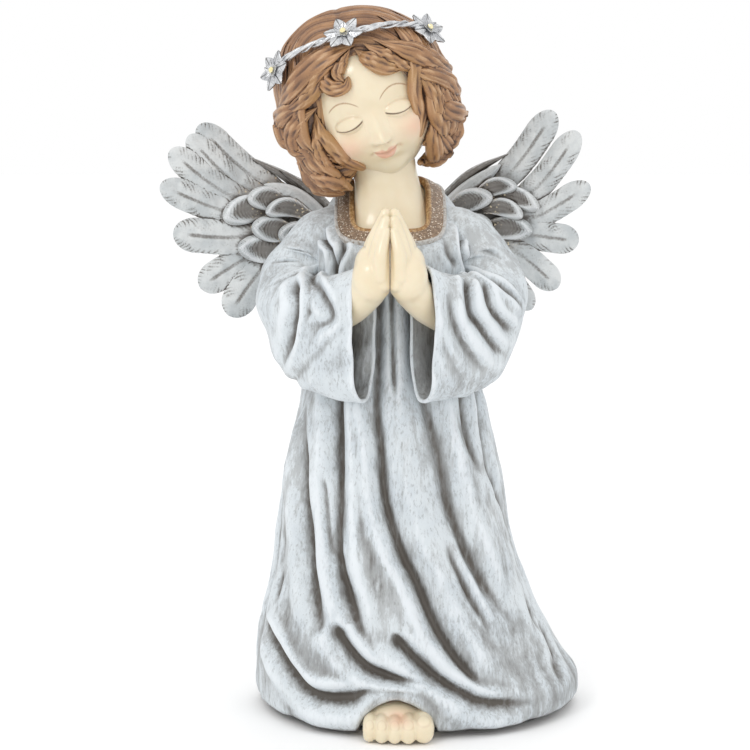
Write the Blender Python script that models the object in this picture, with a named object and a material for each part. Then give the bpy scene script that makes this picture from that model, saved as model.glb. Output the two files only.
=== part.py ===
"""Praying resin angel figurine, 348 mm tall.

The figure stands on z = 0 and looks along -Y. x = 0 lies between the middle of the torso and the middle of the
hem, which flares to the figure's left. It is built from separate
castings: a hollow robe that is open at the hem and the neck, a base plate and a felt pad, two sleeves, two forearms
with hands, a head with its neck and chest, a shell of hair, a circlet with star flowers and stones, a collar trim, a
foot and two wings on steel pins.

Every size and place below is in millimetres. new_object turns them into Blender's metres.
"""

import math

import bmesh
import bpy
import numpy as np
from mathutils import Euler, Matrix, Vector

MM = 0.001
JOINT_GAP = 0.35  # glue line between two castings
SIDES = {"right": -1, "left": 1}  # the figure's own right and left, as a sign on x

TORSO_X = -6.5  # middle of the shoulders
PALMS_X = -8.0  # plane where the palms meet

# ---- robe: (height, centre x, half width, depth forwards, depth backwards, forward slope, squareness) ----
# The squareness is the exponent of a superellipse, so 2 is an ellipse.
ROBE_FLOOR = 1.6
ROBE_RINGS = [
    (ROBE_FLOOR, 5.5, 78.5, 60.0, 48.0, 0.0, 2.2),
    (6.0, 6.0, 80.0, 62.0, 50.0, 0.0, 2.2),
    (15.0, 6.0, 79.5, 62.0, 50.0, 0.0, 2.2),
    (28.0, 2.0, 75.5, 61.0, 49.5, 0.0, 2.2),
    (45.0, -1.5, 69.0, 59.0, 47.0, 0.0, 2.2),
    (70.0, -4.0, 61.0, 54.0, 44.0, 0.0, 2.2),
    (100.0, -6.0, 55.0, 50.0, 40.5, 0.0, 2.2),
    (134.0, -6.5, 49.5, 45.5, 36.5, 0.0, 2.2),
    (165.0, -6.5, 44.0, 41.0, 33.5, 0.0, 2.2),
    (195.0, -6.5, 40.5, 37.5, 31.5, 0.04, 2.2),
    (220.0, -6.5, 40.0, 35.0, 29.5, 0.1, 2.3),
    (237.0, -6.5, 38.0, 32.5, 27.5, 0.18, 2.5),
    (247.0, -7.0, 31.0, 29.5, 24.0, 0.26, 2.7),
    (253.0, -7.5, 23.0, 26.0, 19.0, 0.32, 3.0),
    (255.0, -7.5, 18.5, 23.5, 15.5, 0.34, 3.2),
]
ROBE_CENTRE_Y = -3.0
ROBE_WALL = 5.5
ROBE_ROWS = 22
ROBE_SEGMENTS = 56
PLEATS = 13
PLEAT_DEPTH = 2.2
PLEAT_SWEEP = math.radians(34)  # how far the pleats turn between the waist and the hem
WAIST_HEIGHT = 165.0

HEM_ARCH_X = -4.0
HEM_ARCH_HALF_WIDTH = 21.0
HEM_ARCH_HEIGHT = 14.0

# ---- base ----
PLATE_THICKNESS = 4.0
FELT_THICKNESS = 1.2
FELT_INSET = 7.0

# ---- sleeves, from the middle of the shoulders, for the side where x is positive ----
# (centre, direction, upwards, half width, up, down)
SLEEVE_RINGS = [
    ((12.0, 2.0, 236.0), (0.95, 0.0, -0.3), (0.3, 0.0, 0.95), 11.0, 11.0, 11.0),
    ((27.0, 2.0, 235.0), (0.88, 0.0, -0.48), (0.48, 0.0, 0.88), 15.0, 17.0, 15.0),
    ((40.0, -1.0, 225.0), (0.5, -0.3, -0.8), (0.8, 0.0, 0.55), 18.0, 18.0, 20.0),
    ((46.0, -10.0, 209.0), (0.2, -0.85, -0.4), (0.3, -0.3, 0.9), 20.5, 21.0, 27.0),
    ((43.0, -22.0, 202.0), (-0.25, -0.95, 0.0), (0.05, 0.0, 1.0), 20.5, 22.0, 31.0),
    ((33.0, -36.0, 200.0), (-0.65, -0.75, 0.0), (0.0, 0.0, 1.0), 17.5, 22.0, 33.0),
    ((15.5, -47.0, 200.0), (-0.86, -0.5, 0.0), (0.0, 0.0, 1.0), 13.5, 26.0, 34.0),
]
SLEEVE_WALL = 2.6
SLEEVE_POCKET_SHARE = 0.45  # share of the sleeve's length that the pocket for the forearm takes

# ---- forearm and hand, from the plane of the palms, for the side where x is positive ----
# (x, y, z, half thickness, half breadth)
ARM_RINGS = [
    (29.0, -38.0, 200.0, 7.5, 7.5),
    (23.0, -44.0, 202.0, 8.2, 9.0),
    (16.5, -51.0, 206.0, 8.6, 9.6),
    (11.0, -57.5, 213.0, 8.4, 10.4),
    (7.6, -61.0, 222.5, 7.8, 11.6),
    (5.6, -62.5, 232.5, 5.8, 11.4),
    (4.0, -62.0, 242.0, 4.2, 9.6),
    (2.6, -60.5, 250.0, 2.7, 6.8),
    (1.8, -59.5, 253.5, 1.6, 3.6),
]
PALM_GAP = 0.2  # from each palm to the middle plane

# ---- head ----
HEAD_CENTRE = (-18.0, -4.0, 303.5)
HEAD_TILT = math.radians(-20)  # about Y: the crown leans towards -X
HEAD_NOD = math.radians(4)  # about the head's own X: the face looks a little down
SKULL = (30.0, 33.0, 38.5)  # half width, half depth, half height
CHIN_TAPER = 0.24
NOSE_LENGTH = 3.6
# (height, centre x, centre y, half width, half depth)
NECK_RINGS = [
    (226.0, -7.5, -6.0, 14.0, 15.0),
    (234.0, -7.5, -7.0, 15.5, 19.0),
    (243.0, -7.5, -6.0, 17.0, 20.5),
    (252.0, -7.5, -4.0, 17.2, 17.5),
    (261.0, -8.5, -3.0, 16.5, 16.0),
    (272.0, -10.5, -3.0, 15.5, 15.5),
    (288.0, -14.0, -4.0, 15.0, 15.0),
]

# ---- hair ----
HAIR = (43.5, 43.5, 45.0)  # half width, half depth, half height
HAIR_DROP = 0.5
HAIR_CURLS = 9
HAIR_CURL_DEPTH = 1.8
FACE_WINDOW = (29.0, 34.0, 39.0)
FACE_WINDOW_CENTRE = (1.5, -38.0, -14.0)
NAPE_CUT_HEIGHT = -41.0

# ---- circlet, flowers and stones ----
CIRCLET_CENTRE = (0.0, 7.0, 19.0)
CIRCLET_TILT = math.radians(25)  # the band rises from the nape to the forehead
CIRCLET_ROLL = math.radians(4)  # and sits a little lower on the figure's left
CIRCLET_WIRE = 1.3
CIRCLET_CLEARANCE = 0.35
FLOWERS = ["front", "left", "back_left", "back_right", "right"]
FLOWER_PETALS = 6
FLOWER_RADIUS = 9.0
FLOWER_NOTCH = 4.3
FLOWER_THICKNESS = 1.5
STONE_RADIUS = 1.4
STONE_HEIGHT = 1.1

# ---- collar trim, in shares of the robe's rings counted down from the neck ----
TRIM_WIDTH = 8.0
TRIM_THICKNESS = 1.3

# ---- foot ----
FOOT_CENTRE = (-4.0, -62.0)
FOOT_HALF_WIDTH = 16.5
FOOT_LENGTH = 26.0
FOOT_HEIGHT = 14.0
TOES = [-12.5, -6.8, -0.6, 5.2, 10.8]  # across the foot, from its middle
TOE_RADIUS = 3.9
BIG_TOE_RADIUS = 4.6

# ---- wings, for the side where x is positive: polar outline about the wing's own middle ----
WING_MIDDLE = {"right": (47.0, 33.0, 240.0), "left": (40.0, 33.0, 240.0)}
# (direction in degrees above +X, length) of each long feather
WING_FEATHERS = {
    "right": [(-44, 63), (-27, 65), (-5, 70), (12, 78), (25, 80), (34, 76.5), (42, 75)],
    "left": [(-60, 48), (-35, 49), (-10, 52), (17, 58), (44, 66), (59, 66)],
}
# (direction, length) of the smooth edge: top of the arm, shoulder root, underside
WING_EDGE = {
    "right": [(47, 52), (57, 34), (90, 23), (130, 27), (160, 34), (190, 34), (220, 32), (270, 36), (300, 50)],
    "left": [(66, 50), (74, 37), (97, 29), (140, 30), (165, 36), (190, 36), (220, 33), (260, 34), (285, 42)],
}
WING_NOTCH = 0.84  # how deep the outline is cut between two feathers
WING_SWEEP = 0.16  # how fast the wing falls back, outwards
WING_THICKNESS = 8.0
WING_TIP_THICKNESS = 2.4
WING_ROOT_THICKNESS = 16.0  # boss towards the robe
WING_PINS = {"upper": 240.0, "lower": 226.0}
WING_PIN_X = 21.0  # from the middle of the shoulders
WING_PIN_RADIUS = 1.5
WING_PIN_ENDS = (18.5, 33.0)

COLOURS = {
    # name: (red, green, blue, roughness, metallic)
    "robe_paint": (0.66, 0.70, 0.73, 0.55, 0.0),
    "wing_paint": (0.60, 0.62, 0.63, 0.55, 0.0),
    "skin_glaze": (0.85, 0.76, 0.58, 0.25, 0.0),
    "hair_paint": (0.36, 0.19, 0.10, 0.45, 0.0),
    "bronze_glitter": (0.26, 0.17, 0.10, 0.40, 0.6),
    "silver_paint": (0.70, 0.70, 0.72, 0.30, 1.0),
    "stone_crystal": (0.90, 0.88, 0.55, 0.08, 0.0),
    "bare_resin": (0.72, 0.69, 0.62, 0.60, 0.0),
    "pin_steel": (0.55, 0.55, 0.57, 0.35, 1.0),
    "felt_grey": (0.10, 0.10, 0.11, 0.95, 0.0),
}


# ---- helpers -------------------------------------------------------------------------------------------------


def clear_scene():
    for obj in list(bpy.data.objects):
        bpy.data.objects.remove(obj)


def material(name):
    found = bpy.data.materials.get(name)
    if found:
        return found
    red, green, blue, roughness, metallic = COLOURS[name]
    made = bpy.data.materials.new(name)
    made.use_nodes = True
    shader = made.node_tree.nodes["Principled BSDF"]
    shader.inputs["Base Color"].default_value = (red, green, blue, 1.0)
    shader.inputs["Roughness"].default_value = roughness
    shader.inputs["Metallic"].default_value = metallic
    made.diffuse_color = (red, green, blue, 1.0)
    return made


def new_object(name, points, faces, paint=None):
    """A mesh object from points in millimetres, smooth apart from its sharp edges."""
    mesh = bpy.data.meshes.new(name)
    mesh.from_pydata([tuple(p) for p in np.asarray(points, float) * MM], [], faces)
    shape = bmesh.new()
    shape.from_mesh(mesh)
    bmesh.ops.triangulate(shape, faces=shape.faces)
    bmesh.ops.recalc_face_normals(shape, faces=shape.faces)
    shape.to_mesh(mesh)
    shape.free()
    mesh.shade_smooth()
    mesh.set_sharp_from_angle(angle=math.radians(40))
    obj = bpy.data.objects.new(name, mesh)
    bpy.context.scene.collection.objects.link(obj)
    if paint:
        mesh.materials.append(material(paint))
    else:
        obj.hide_render = True
        obj.display_type = "WIRE"
    return obj


def skin(rings, closed=False):
    """Points and faces of the surface through a list of rings. It is capped at both ends, or runs round when closed."""
    rings = np.asarray(rings, float)
    count, around, _ = rings.shape
    points = list(rings.reshape(-1, 3))
    faces = []
    for i in range(count if closed else count - 1):
        low, high = i * around, ((i + 1) % count) * around
        for j in range(around):
            k = (j + 1) % around
            faces.append((low + j, low + k, high + k, high + j))
    if not closed:
        for start, ring in ((0, rings[0]), ((count - 1) * around, rings[-1])):
            points.append(ring.mean(axis=0))
            for j in range(around):
                faces.append((start + j, start + (j + 1) % around, len(points) - 1))
    return points, faces


def spline_rows(rows, samples):
    """Rows of numbers read from a Catmull-Rom curve through the given rows."""
    rows = np.asarray(rows, float)
    padded = np.vstack([2 * rows[0] - rows[1], rows, 2 * rows[-1] - rows[-2]])
    made = []
    for t in np.linspace(0, len(rows) - 1, samples):
        i = min(int(t), len(rows) - 2)
        u = t - i
        a, b, c, d = padded[i : i + 4]
        made.append(
            0.5 * (2 * b + (c - a) * u + (2 * a - 5 * b + 4 * c - d) * u**2 + (3 * b - a - 3 * c + d) * u**3)
        )
    return np.array(made)


def around(count):
    return np.linspace(0, 2 * math.pi, count, endpoint=False)


def superellipse(angle, exponent):
    """Unit superellipse as x and y, with the same angle convention as a circle."""
    c, s = np.cos(angle), np.sin(angle)
    scale = (np.abs(c) ** exponent + np.abs(s) ** exponent) ** (-1 / exponent)
    return c * scale, s * scale


def boolean(obj, other, operation="DIFFERENCE"):
    modifier = obj.modifiers.new(operation.lower(), "BOOLEAN")
    modifier.operation = operation
    modifier.solver = "EXACT"
    modifier.object = other


def apply_modifiers(obj):
    """Replaces the object's mesh with what its modifiers make of it."""
    graph = bpy.context.evaluated_depsgraph_get()
    mesh = bpy.data.meshes.new_from_object(obj.evaluated_get(graph), depsgraph=graph)
    obj.modifiers.clear()
    obj.data = mesh


def merged(obj, others):
    """Joins other bodies to this one and removes them."""
    for other in others:
        boolean(obj, other, "UNION")
    apply_modifiers(obj)
    for other in others:
        bpy.data.objects.remove(other)
    return obj


def ball(name, centre, radii, segments=12, rings=8, paint=None):
    """A closed ellipsoid."""
    rows = []
    for lift in np.linspace(-90, 90, rings + 1)[1:-1]:
        turn = around(segments)
        flat, high = math.cos(math.radians(lift)), math.sin(math.radians(lift))
        row = np.stack([np.cos(turn) * flat, np.sin(turn) * flat, np.full(segments, high)], axis=1)
        rows.append(row * radii + centre)
    points, faces = skin(rows)
    points[-2] = np.array(centre) - (0, 0, radii[2])
    points[-1] = np.array(centre) + (0, 0, radii[2])
    return new_object(name, points, faces, paint)


# ---- robe, base plate and felt -----------------------------------------------------------------------------


def robe_ring(row, turn, grow=0.0):
    """One ring of the robe. grow moves the surface outwards."""
    height, centre_x, half_width, front, back, slope, squareness = row
    x, y = superellipse(turn, squareness)
    pleat_share = np.clip((WAIST_HEIGHT + 20 - height) / WAIST_HEIGHT, 0, 1)
    sweep = PLEAT_SWEEP * np.clip((WAIST_HEIGHT - height) / WAIST_HEIGHT, 0, 1) ** 2
    pleat = PLEAT_DEPTH * pleat_share * np.cos(PLEATS * (turn - sweep))
    depth = np.where(y < 0, front, back)
    ring_x = centre_x + x * (half_width + grow + pleat)
    ring_y = y * (depth + grow + pleat)
    return np.stack([ring_x, ROBE_CENTRE_Y + ring_y, height + slope * ring_y], axis=1)


def hem_arch(ring):
    """Lifts the hem over the foot."""
    across = (ring[:, 0] - HEM_ARCH_X) / HEM_ARCH_HALF_WIDTH
    share = np.clip(1 - across**2, 0, 1) * (ring[:, 1] < -30)
    floor = ROBE_FLOOR + HEM_ARCH_HEIGHT * np.sqrt(share)
    ring[:, 2] = np.maximum(ring[:, 2], floor + (ring[:, 2] - ROBE_FLOOR) * 0.2)
    return ring


def robe_rings(count, segments, grow=0.0, top=1.0):
    rows = spline_rows(ROBE_RINGS, count)
    rows = rows[: max(2, round(count * top))]
    return [hem_arch(robe_ring(row, around(segments), grow)) for row in rows]


def build_robe():
    outer = robe_rings(ROBE_ROWS, ROBE_SEGMENTS)
    inner = robe_rings(9, ROBE_SEGMENTS, grow=-ROBE_WALL)
    points, faces = skin(outer + inner[::-1], closed=True)
    return new_object("robe_shell", points, faces, "robe_paint")


def robe_clearance(grow=JOINT_GAP):
    """The robe filled solid and a glue line larger, which cuts its neighbours."""
    points, faces = skin(robe_rings(ROBE_ROWS, ROBE_SEGMENTS, grow))
    return new_object("cutter_robe", points, faces)


def base_outline(inset, segments=48):
    turn = around(segments)
    _, centre_x, half_width, front, back, _, squareness = ROBE_RINGS[0]
    x, y = superellipse(turn, squareness)
    depth = np.where(y < 0, front, back)
    return np.stack([centre_x + x * (half_width - inset), ROBE_CENTRE_Y + y * (depth - inset)], axis=1)


def slab(name, outline, low, high, paint):
    rings = [np.column_stack([outline, np.full(len(outline), z)]) for z in (low, high)]
    points, faces = skin(rings)
    return new_object(name, points, faces, paint)


def build_base():
    """The plate that closes the hem from inside and the felt under it."""
    plate_inset = ROBE_WALL + PLEAT_DEPTH + 1.0
    plate = slab(
        "base_plate", base_outline(plate_inset), ROBE_FLOOR, ROBE_FLOOR + PLATE_THICKNESS, "bare_resin"
    )
    felt = slab("felt_pad", base_outline(FELT_INSET), 0.0, FELT_THICKNESS, "felt_grey")
    return plate, felt


def collar_shape(name, robe_cutter, grow=0.0, paint=None):
    """A band laid on the robe round the neck opening, and cut to the robe's own shape below."""
    turn = around(44)
    rows = spline_rows(ROBE_RINGS, 4 * len(ROBE_RINGS) - 3)
    levels = [robe_ring(row, turn) for row in rows[-1:-8:-3]]
    down = levels[-1] - levels[0]
    down /= np.linalg.norm(down, axis=1, keepdims=True)
    inner, outer = levels[0] - down * grow, levels[0] + down * (TRIM_WIDTH + grow)
    middle = levels[1]
    radial = levels[-1] - levels[-1].mean(axis=0)
    radial[:, 2] = 0
    radial /= np.linalg.norm(radial, axis=1, keepdims=True)
    outward = (radial * 0.5 + (0, 0, 0.85)) / math.hypot(0.5, 0.85)
    over = outward * (JOINT_GAP + TRIM_THICKNESS + grow)
    under = outward * -2.0
    rings = [inner + under, outer + under, outer + over, middle + over, inner + over]
    points, faces = skin(rings, closed=True)
    collar = new_object(name, points, faces, paint)
    if paint:
        boolean(collar, robe_cutter)
    return collar


# ---- sleeves, arms and hands -------------------------------------------------------------------------------


def sleeve_ring(row, side, segments, shrink=0.0):
    centre, along, upwards = row[0:3], row[3:6], row[6:9]
    half_width, up, down = row[9:12] - shrink
    along = along / np.linalg.norm(along)
    upwards = upwards - along * (upwards @ along)
    upwards = upwards / np.linalg.norm(upwards)
    sideways = np.cross(along, upwards)
    turn = around(segments)
    height = np.where(np.sin(turn) > 0, up, down) * np.sin(turn)
    ring = centre + np.outer(np.cos(turn) * half_width, sideways) + np.outer(height, upwards)
    return ring * (side, 1, 1) + (TORSO_X, 0, 0)


def build_sleeve(name, side_name, grow, paint, cutters):
    side = SIDES[side_name]
    rows = spline_rows([np.hstack(r) for r in SLEEVE_RINGS], 13)
    outer = [sleeve_ring(row, side, 20, -grow) for row in rows]
    pocket = rows[round(len(rows) * (1 - SLEEVE_POCKET_SHARE)) :]
    inner = [sleeve_ring(row, side, 20, SLEEVE_WALL + grow) for row in pocket]
    points, faces = skin(outer + inner[::-1])
    sleeve = new_object(name, points, faces, paint)
    for cutter in cutters:
        boolean(sleeve, cutter)
    return sleeve


def hand_shape(name, side_name, grow=0.0, paint=None):
    """Forearm and hand as one casting, with a flat palm that meets the other hand's."""
    side = SIDES[side_name]
    segments = 12
    turn = around(segments)
    rows = spline_rows(ARM_RINGS, 14)
    rings = []
    for i, (x, y, z, thick, broad) in enumerate(rows):
        before, after = rows[max(i - 1, 0)][:3], rows[min(i + 1, len(rows) - 1)][:3]
        along = (after - before) / np.linalg.norm(after - before)
        breadth = np.array([0.0, -1.0, 0.0]) + along * along[1]
        breadth /= np.linalg.norm(breadth)
        thickness = np.cross(breadth, along)
        ring = np.array([x, y, z]) + np.outer(np.cos(turn) * (thick + grow), thickness)
        ring = ring + np.outer(np.sin(turn) * (broad + grow), breadth)
        ring[:, 0] = np.maximum(ring[:, 0], PALM_GAP - grow)
        rings.append(ring * (side, 1, 1) + (PALMS_X, 0, 0))
    points, faces = skin(rings)
    if grow:
        points[-2] = points[-2] + (0.0, grow, -grow)
    return new_object(name, points, faces, paint)


# ---- head and hair -----------------------------------------------------------------------------------------


def head_matrix():
    turn = Matrix.Rotation(HEAD_TILT, 4, "Y") @ Matrix.Rotation(HEAD_NOD, 4, "X")
    return np.array(Matrix.Translation(Vector(HEAD_CENTRE)) @ turn)


def to_world(points):
    """Points in the head's own frame, in the figure's frame."""
    matrix = head_matrix()
    return np.asarray(points, float) @ matrix[:3, :3].T + matrix[:3, 3]


def sphere_rows(segments, rings):
    """Unit vectors of a sphere from its south pole up, without the poles."""
    turn = around(segments)
    rows = []
    for lift in np.radians(np.linspace(-90, 90, rings + 1)[1:-1]):
        flat = math.cos(lift)
        high = np.full(segments, math.sin(lift))
        rows.append(np.stack([np.cos(turn) * flat, np.sin(turn) * flat, high], axis=1))
    return np.array(rows)


def skull_point(unit, grow=0.0):
    """Child's skull and face: an egg that narrows to the chin, with a small nose."""
    point = unit * (np.array(SKULL) + grow)
    chin = np.clip(-unit[..., 2:3], 0, 1)
    point = point * (1 - CHIN_TAPER * chin**2 * np.array([1.0, 0.35, 0.0]))
    nose = np.exp(-((unit[..., 0] / 0.12) ** 2) - ((unit[..., 2] + 0.3) / 0.16) ** 2)
    point[..., 1] -= NOSE_LENGTH * nose * (unit[..., 1] < 0)
    return point


def neck_rings(segments, grow=0.0):
    rows = spline_rows(NECK_RINGS, 11)
    turn = around(segments)
    made = []
    for height, x, y, wide, deep in rows:
        flat = np.stack([x + np.cos(turn) * (wide + grow), y + np.sin(turn) * (deep + grow)], axis=1)
        made.append(np.column_stack([flat, np.full(segments, height)]))
    return made


def head_shape(name, grow, paint=None):
    rows = [to_world(skull_point(row, grow)) for row in sphere_rows(26, 16)]
    points, faces = skin(rows)
    south, north = np.array([[0, 0, -1.0]]), np.array([[0, 0, 1.0]])
    points[-2], points[-1] = to_world(skull_point(south, grow))[0], to_world(skull_point(north, grow))[0]
    head = new_object(name, points, faces, paint)
    points, faces = skin(neck_rings(20, grow))
    return merged(head, [new_object(name + "_neck", points, faces)])


def hair_radius(unit):
    """Outer surface of the hair in the head's own frame, with soft waves towards its ends."""
    turn = np.arctan2(unit[..., 1], unit[..., 0])
    lower = np.clip(0.45 - unit[..., 2], 0, 1)
    wave = HAIR_CURL_DEPTH * lower * np.sin(HAIR_CURLS * turn + 5.0 * unit[..., 2])
    return unit * (np.array(HAIR) + wave[..., None]) + (0, 0, HAIR_DROP)


def build_hair(head_cutter, collar_cutters):
    rows = [to_world(hair_radius(row)) for row in sphere_rows(32, 16)]
    points, faces = skin(rows)
    points[-2] = to_world(hair_radius(np.array([[0, 0, -1.0]])))[0]
    points[-1] = to_world(hair_radius(np.array([[0, 0, 1.0]])))[0]
    hair = new_object("hair", points, faces, "hair_paint")
    window = ball("cutter_face", FACE_WINDOW_CENTRE, FACE_WINDOW, 24, 14)
    move_to_head(window)
    nape = ball("cutter_nape", (0, 0, NAPE_CUT_HEIGHT - 30), (80, 80, 30), 8, 4)
    move_to_head(nape)
    for cutter in [head_cutter, window, *collar_cutters]:
        boolean(hair, cutter)
    bpy.data.objects.remove(nape)
    return hair


def move_to_head(obj):
    """Carries an object that was made in the head's own frame to its place."""
    for vertex in obj.data.vertices:
        vertex.co = Vector(to_world([np.array(vertex.co) / MM])[0] * MM)


# ---- circlet ------------------------------------------------------------------------------------------------


def circlet_frame(turn, lift):
    """A point of the circlet's path lifted off the hair, with the directions outwards and along, in the head's frame."""
    forward = np.array([0.0, -math.cos(CIRCLET_TILT), math.sin(CIRCLET_TILT)])
    across = np.array([math.cos(CIRCLET_ROLL), 0.0, -math.sin(CIRCLET_ROLL)])
    direction = math.sin(turn) * across + math.cos(turn) * forward
    axes = np.array(HAIR)
    start = (np.array(CIRCLET_CENTRE) - (0, 0, HAIR_DROP)) / axes
    step = direction / axes
    # The ray from the circlet's centre meets the hair's ellipsoid where |start + s step| = 1.
    a, b, c = step @ step, 2 * start @ step, start @ start - 1
    reach = (-b + math.sqrt(b * b - 4 * a * c)) / (2 * a)
    on_hair = np.array(CIRCLET_CENTRE) + reach * direction
    outward = (on_hair - (0, 0, HAIR_DROP)) / axes**2
    outward = outward / np.linalg.norm(outward)
    return on_hair + outward * lift, outward


def build_circlet():
    wire_turn = around(6)
    lift = CIRCLET_WIRE + CIRCLET_CLEARANCE + HAIR_CURL_DEPTH * 0.25
    steps = [circlet_frame(turn, lift) for turn in around(36)]
    axis = np.array([math.sin(CIRCLET_ROLL), math.sin(CIRCLET_TILT), math.cos(CIRCLET_TILT)])
    rings = []
    for centre, outward in steps:
        upward = axis - outward * (axis @ outward)
        upward /= np.linalg.norm(upward)
        ring = centre + np.outer(np.cos(wire_turn), outward) * CIRCLET_WIRE
        ring = ring + np.outer(np.sin(wire_turn), upward) * CIRCLET_WIRE
        rings.append(to_world(ring))
    points, faces = skin(rings, closed=True)
    return new_object("circlet", points, faces, "silver_paint")


def flower_profile(height_low, height_high, dish, place):
    """Points and faces of a star of petals: a low and a high outline, whose tips curl up by dish."""
    steps = FLOWER_PETALS * 2
    turn = around(steps)
    radius = np.where(np.arange(steps) % 2 == 0, FLOWER_RADIUS, FLOWER_NOTCH)
    curl = dish * (radius / FLOWER_RADIUS) ** 2
    flat = np.stack([np.cos(turn) * radius, np.sin(turn) * radius], axis=1)
    low = np.column_stack([flat, height_low + curl])
    high = np.column_stack([flat * 0.94, height_high + curl * 0.9])
    points, faces = skin([low, high])
    points[-2][2], points[-1][2] = height_low, height_high
    return [place(p) for p in points], faces


def build_flowers():
    """Each star flower and the stone in its middle, laid on the circlet."""
    base = 2 * CIRCLET_WIRE + CIRCLET_CLEARANCE + HAIR_CURL_DEPTH * 0.25 + JOINT_GAP
    made = []
    for index, name in enumerate(FLOWERS):
        turn = 2 * math.pi * index / len(FLOWERS)
        centre, outward = circlet_frame(turn, base)
        quaternion = Vector(outward).to_track_quat("Z", "Y")
        matrix = np.array(quaternion.to_matrix())

        def place(point, matrix=matrix, centre=centre):
            return to_world([matrix @ np.asarray(point) + centre])[0]

        points, faces = flower_profile(0.0, FLOWER_THICKNESS, 1.2, place)
        made.append(new_object(f"star_flower_{name}", points, faces, "silver_paint"))
        low = FLOWER_THICKNESS + JOINT_GAP
        levels = [(low, 0.8), (low + 0.35, 1.0), (low + STONE_HEIGHT, 0.5)]
        rings = []
        for height, share in levels:
            ring = [(math.cos(t), math.sin(t)) for t in around(8)]
            rings.append([place((x * STONE_RADIUS * share, y * STONE_RADIUS * share, height)) for x, y in ring])
        points, faces = skin(rings)
        made.append(new_object(f"flower_stone_{name}", points, faces, "stone_crystal"))
    return made


# ---- foot ---------------------------------------------------------------------------------------------------


def foot_shape(name, grow=0.0, paint=None):
    x, y = FOOT_CENTRE
    radii = (FOOT_HALF_WIDTH + grow, FOOT_LENGTH / 2 + grow, FOOT_HEIGHT + grow)
    foot = ball(name, (x, y + 4, ROBE_FLOOR), radii, 16, 10, paint)
    toes = []
    for index, across in enumerate(TOES):
        radius = (BIG_TOE_RADIUS if index == 0 else TOE_RADIUS) + grow
        bend = 3.0 - 0.045 * (across - TOES[1]) ** 2
        centre = (x + across, y - 6.5 - bend, ROBE_FLOOR + radius - grow - 0.4)
        toes.append(ball(f"{name}_toe_{index}", centre, (radius, radius * 1.6, radius), 10, 6))
    merged(foot, toes)
    sole = slab(f"cutter_{name}_sole", base_outline(-60, 8), -60.0, ROBE_FLOOR - grow, None)
    boolean(foot, sole)
    apply_modifiers(foot)
    bpy.data.objects.remove(sole)
    return foot


# ---- wings --------------------------------------------------------------------------------------------------


def wing_outline(side_name, directions):
    """Length of the wing from its middle in each direction, scalloped by the feathers' round tips."""
    feathers = WING_FEATHERS[side_name]
    edge = WING_EDGE[side_name]
    keys = sorted([(a % 360, r) for a, r in feathers + edge])
    angles = np.array([k[0] for k in keys])
    lengths = np.array([k[1] for k in keys], float)
    base = np.interp(directions % 360, angles, lengths, period=360)
    scallop = np.ones_like(base)
    ordered = [a for a, _ in feathers]
    for first, second in zip(ordered, ordered[1:]):
        middle, half = (first + second) / 2, (second - first) / 2
        inside = np.abs(((directions - middle + 180) % 360) - 180) < half
        share = np.abs(((directions - middle + 180) % 360) - 180) / half
        scallop = np.where(inside, 1 - (1 - WING_NOTCH) * (1 - share**1.5), scallop)
    return base * scallop


def build_wing(side_name, cutters):
    side = SIDES[side_name]
    middle = np.array(WING_MIDDLE[side_name])
    turn = around(60)
    length = wing_outline(side_name, np.degrees(turn))

    def ring_at(share, thickness, root=0.0):
        x = np.cos(turn) * length * share
        z = np.sin(turn) * length * share
        outwards = np.clip(x + middle[0] - 20, 0, None)
        inwards = np.clip(-x / 24, 0, 1) * np.clip((0.97 - share) / 0.2, 0, 1)
        y = WING_SWEEP * outwards + 0.0010 * outwards**2 + thickness - root * inwards
        return (middle + np.stack([x, y, z], axis=1)) * (side, 1, 1)

    rings = []
    shares = (0.15, 0.45, 0.75, 0.92)
    half = {s: (WING_THICKNESS * (1 - s) + WING_TIP_THICKNESS * s) / 2 for s in (*shares, 1.0)}
    for share in shares:
        rings.append(ring_at(share, -half[share], WING_ROOT_THICKNESS))
    rings.append(ring_at(1.0, -half[1.0]))
    rings.append(ring_at(1.0, half[1.0]))
    for share in shares[::-1]:
        rings.append(ring_at(share, half[share]))
    points, faces = skin(rings)
    wing = new_object(f"{side_name}_wing", points, faces, "wing_paint")
    for cutter in cutters:
        boolean(wing, cutter)
    return wing


def rod(name, x, z, radius, ends, sides=10, paint=None):
    """A round rod along Y."""
    turn = around(sides)
    ring = np.stack([x + np.cos(turn) * radius, np.zeros(sides), z + np.sin(turn) * radius], axis=1)
    points, faces = skin([ring + (0, y, 0) for y in ends])
    return new_object(name, points, faces, paint)


def build_wing_pins(side_name, wing, robe):
    side = SIDES[side_name]
    x = TORSO_X + WING_PIN_X * side
    low, high = WING_PIN_ENDS
    for place, height in WING_PINS.items():
        rod(f"{side_name}_wing_pin_{place}", x, height, WING_PIN_RADIUS, WING_PIN_ENDS, paint="pin_steel")
        hole = rod(
            f"cutter_{side_name}_{place}",
            x,
            height,
            WING_PIN_RADIUS + JOINT_GAP,
            (low - JOINT_GAP, high + JOINT_GAP),
        )
        boolean(wing, hole)
        boolean(robe, hole)


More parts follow.
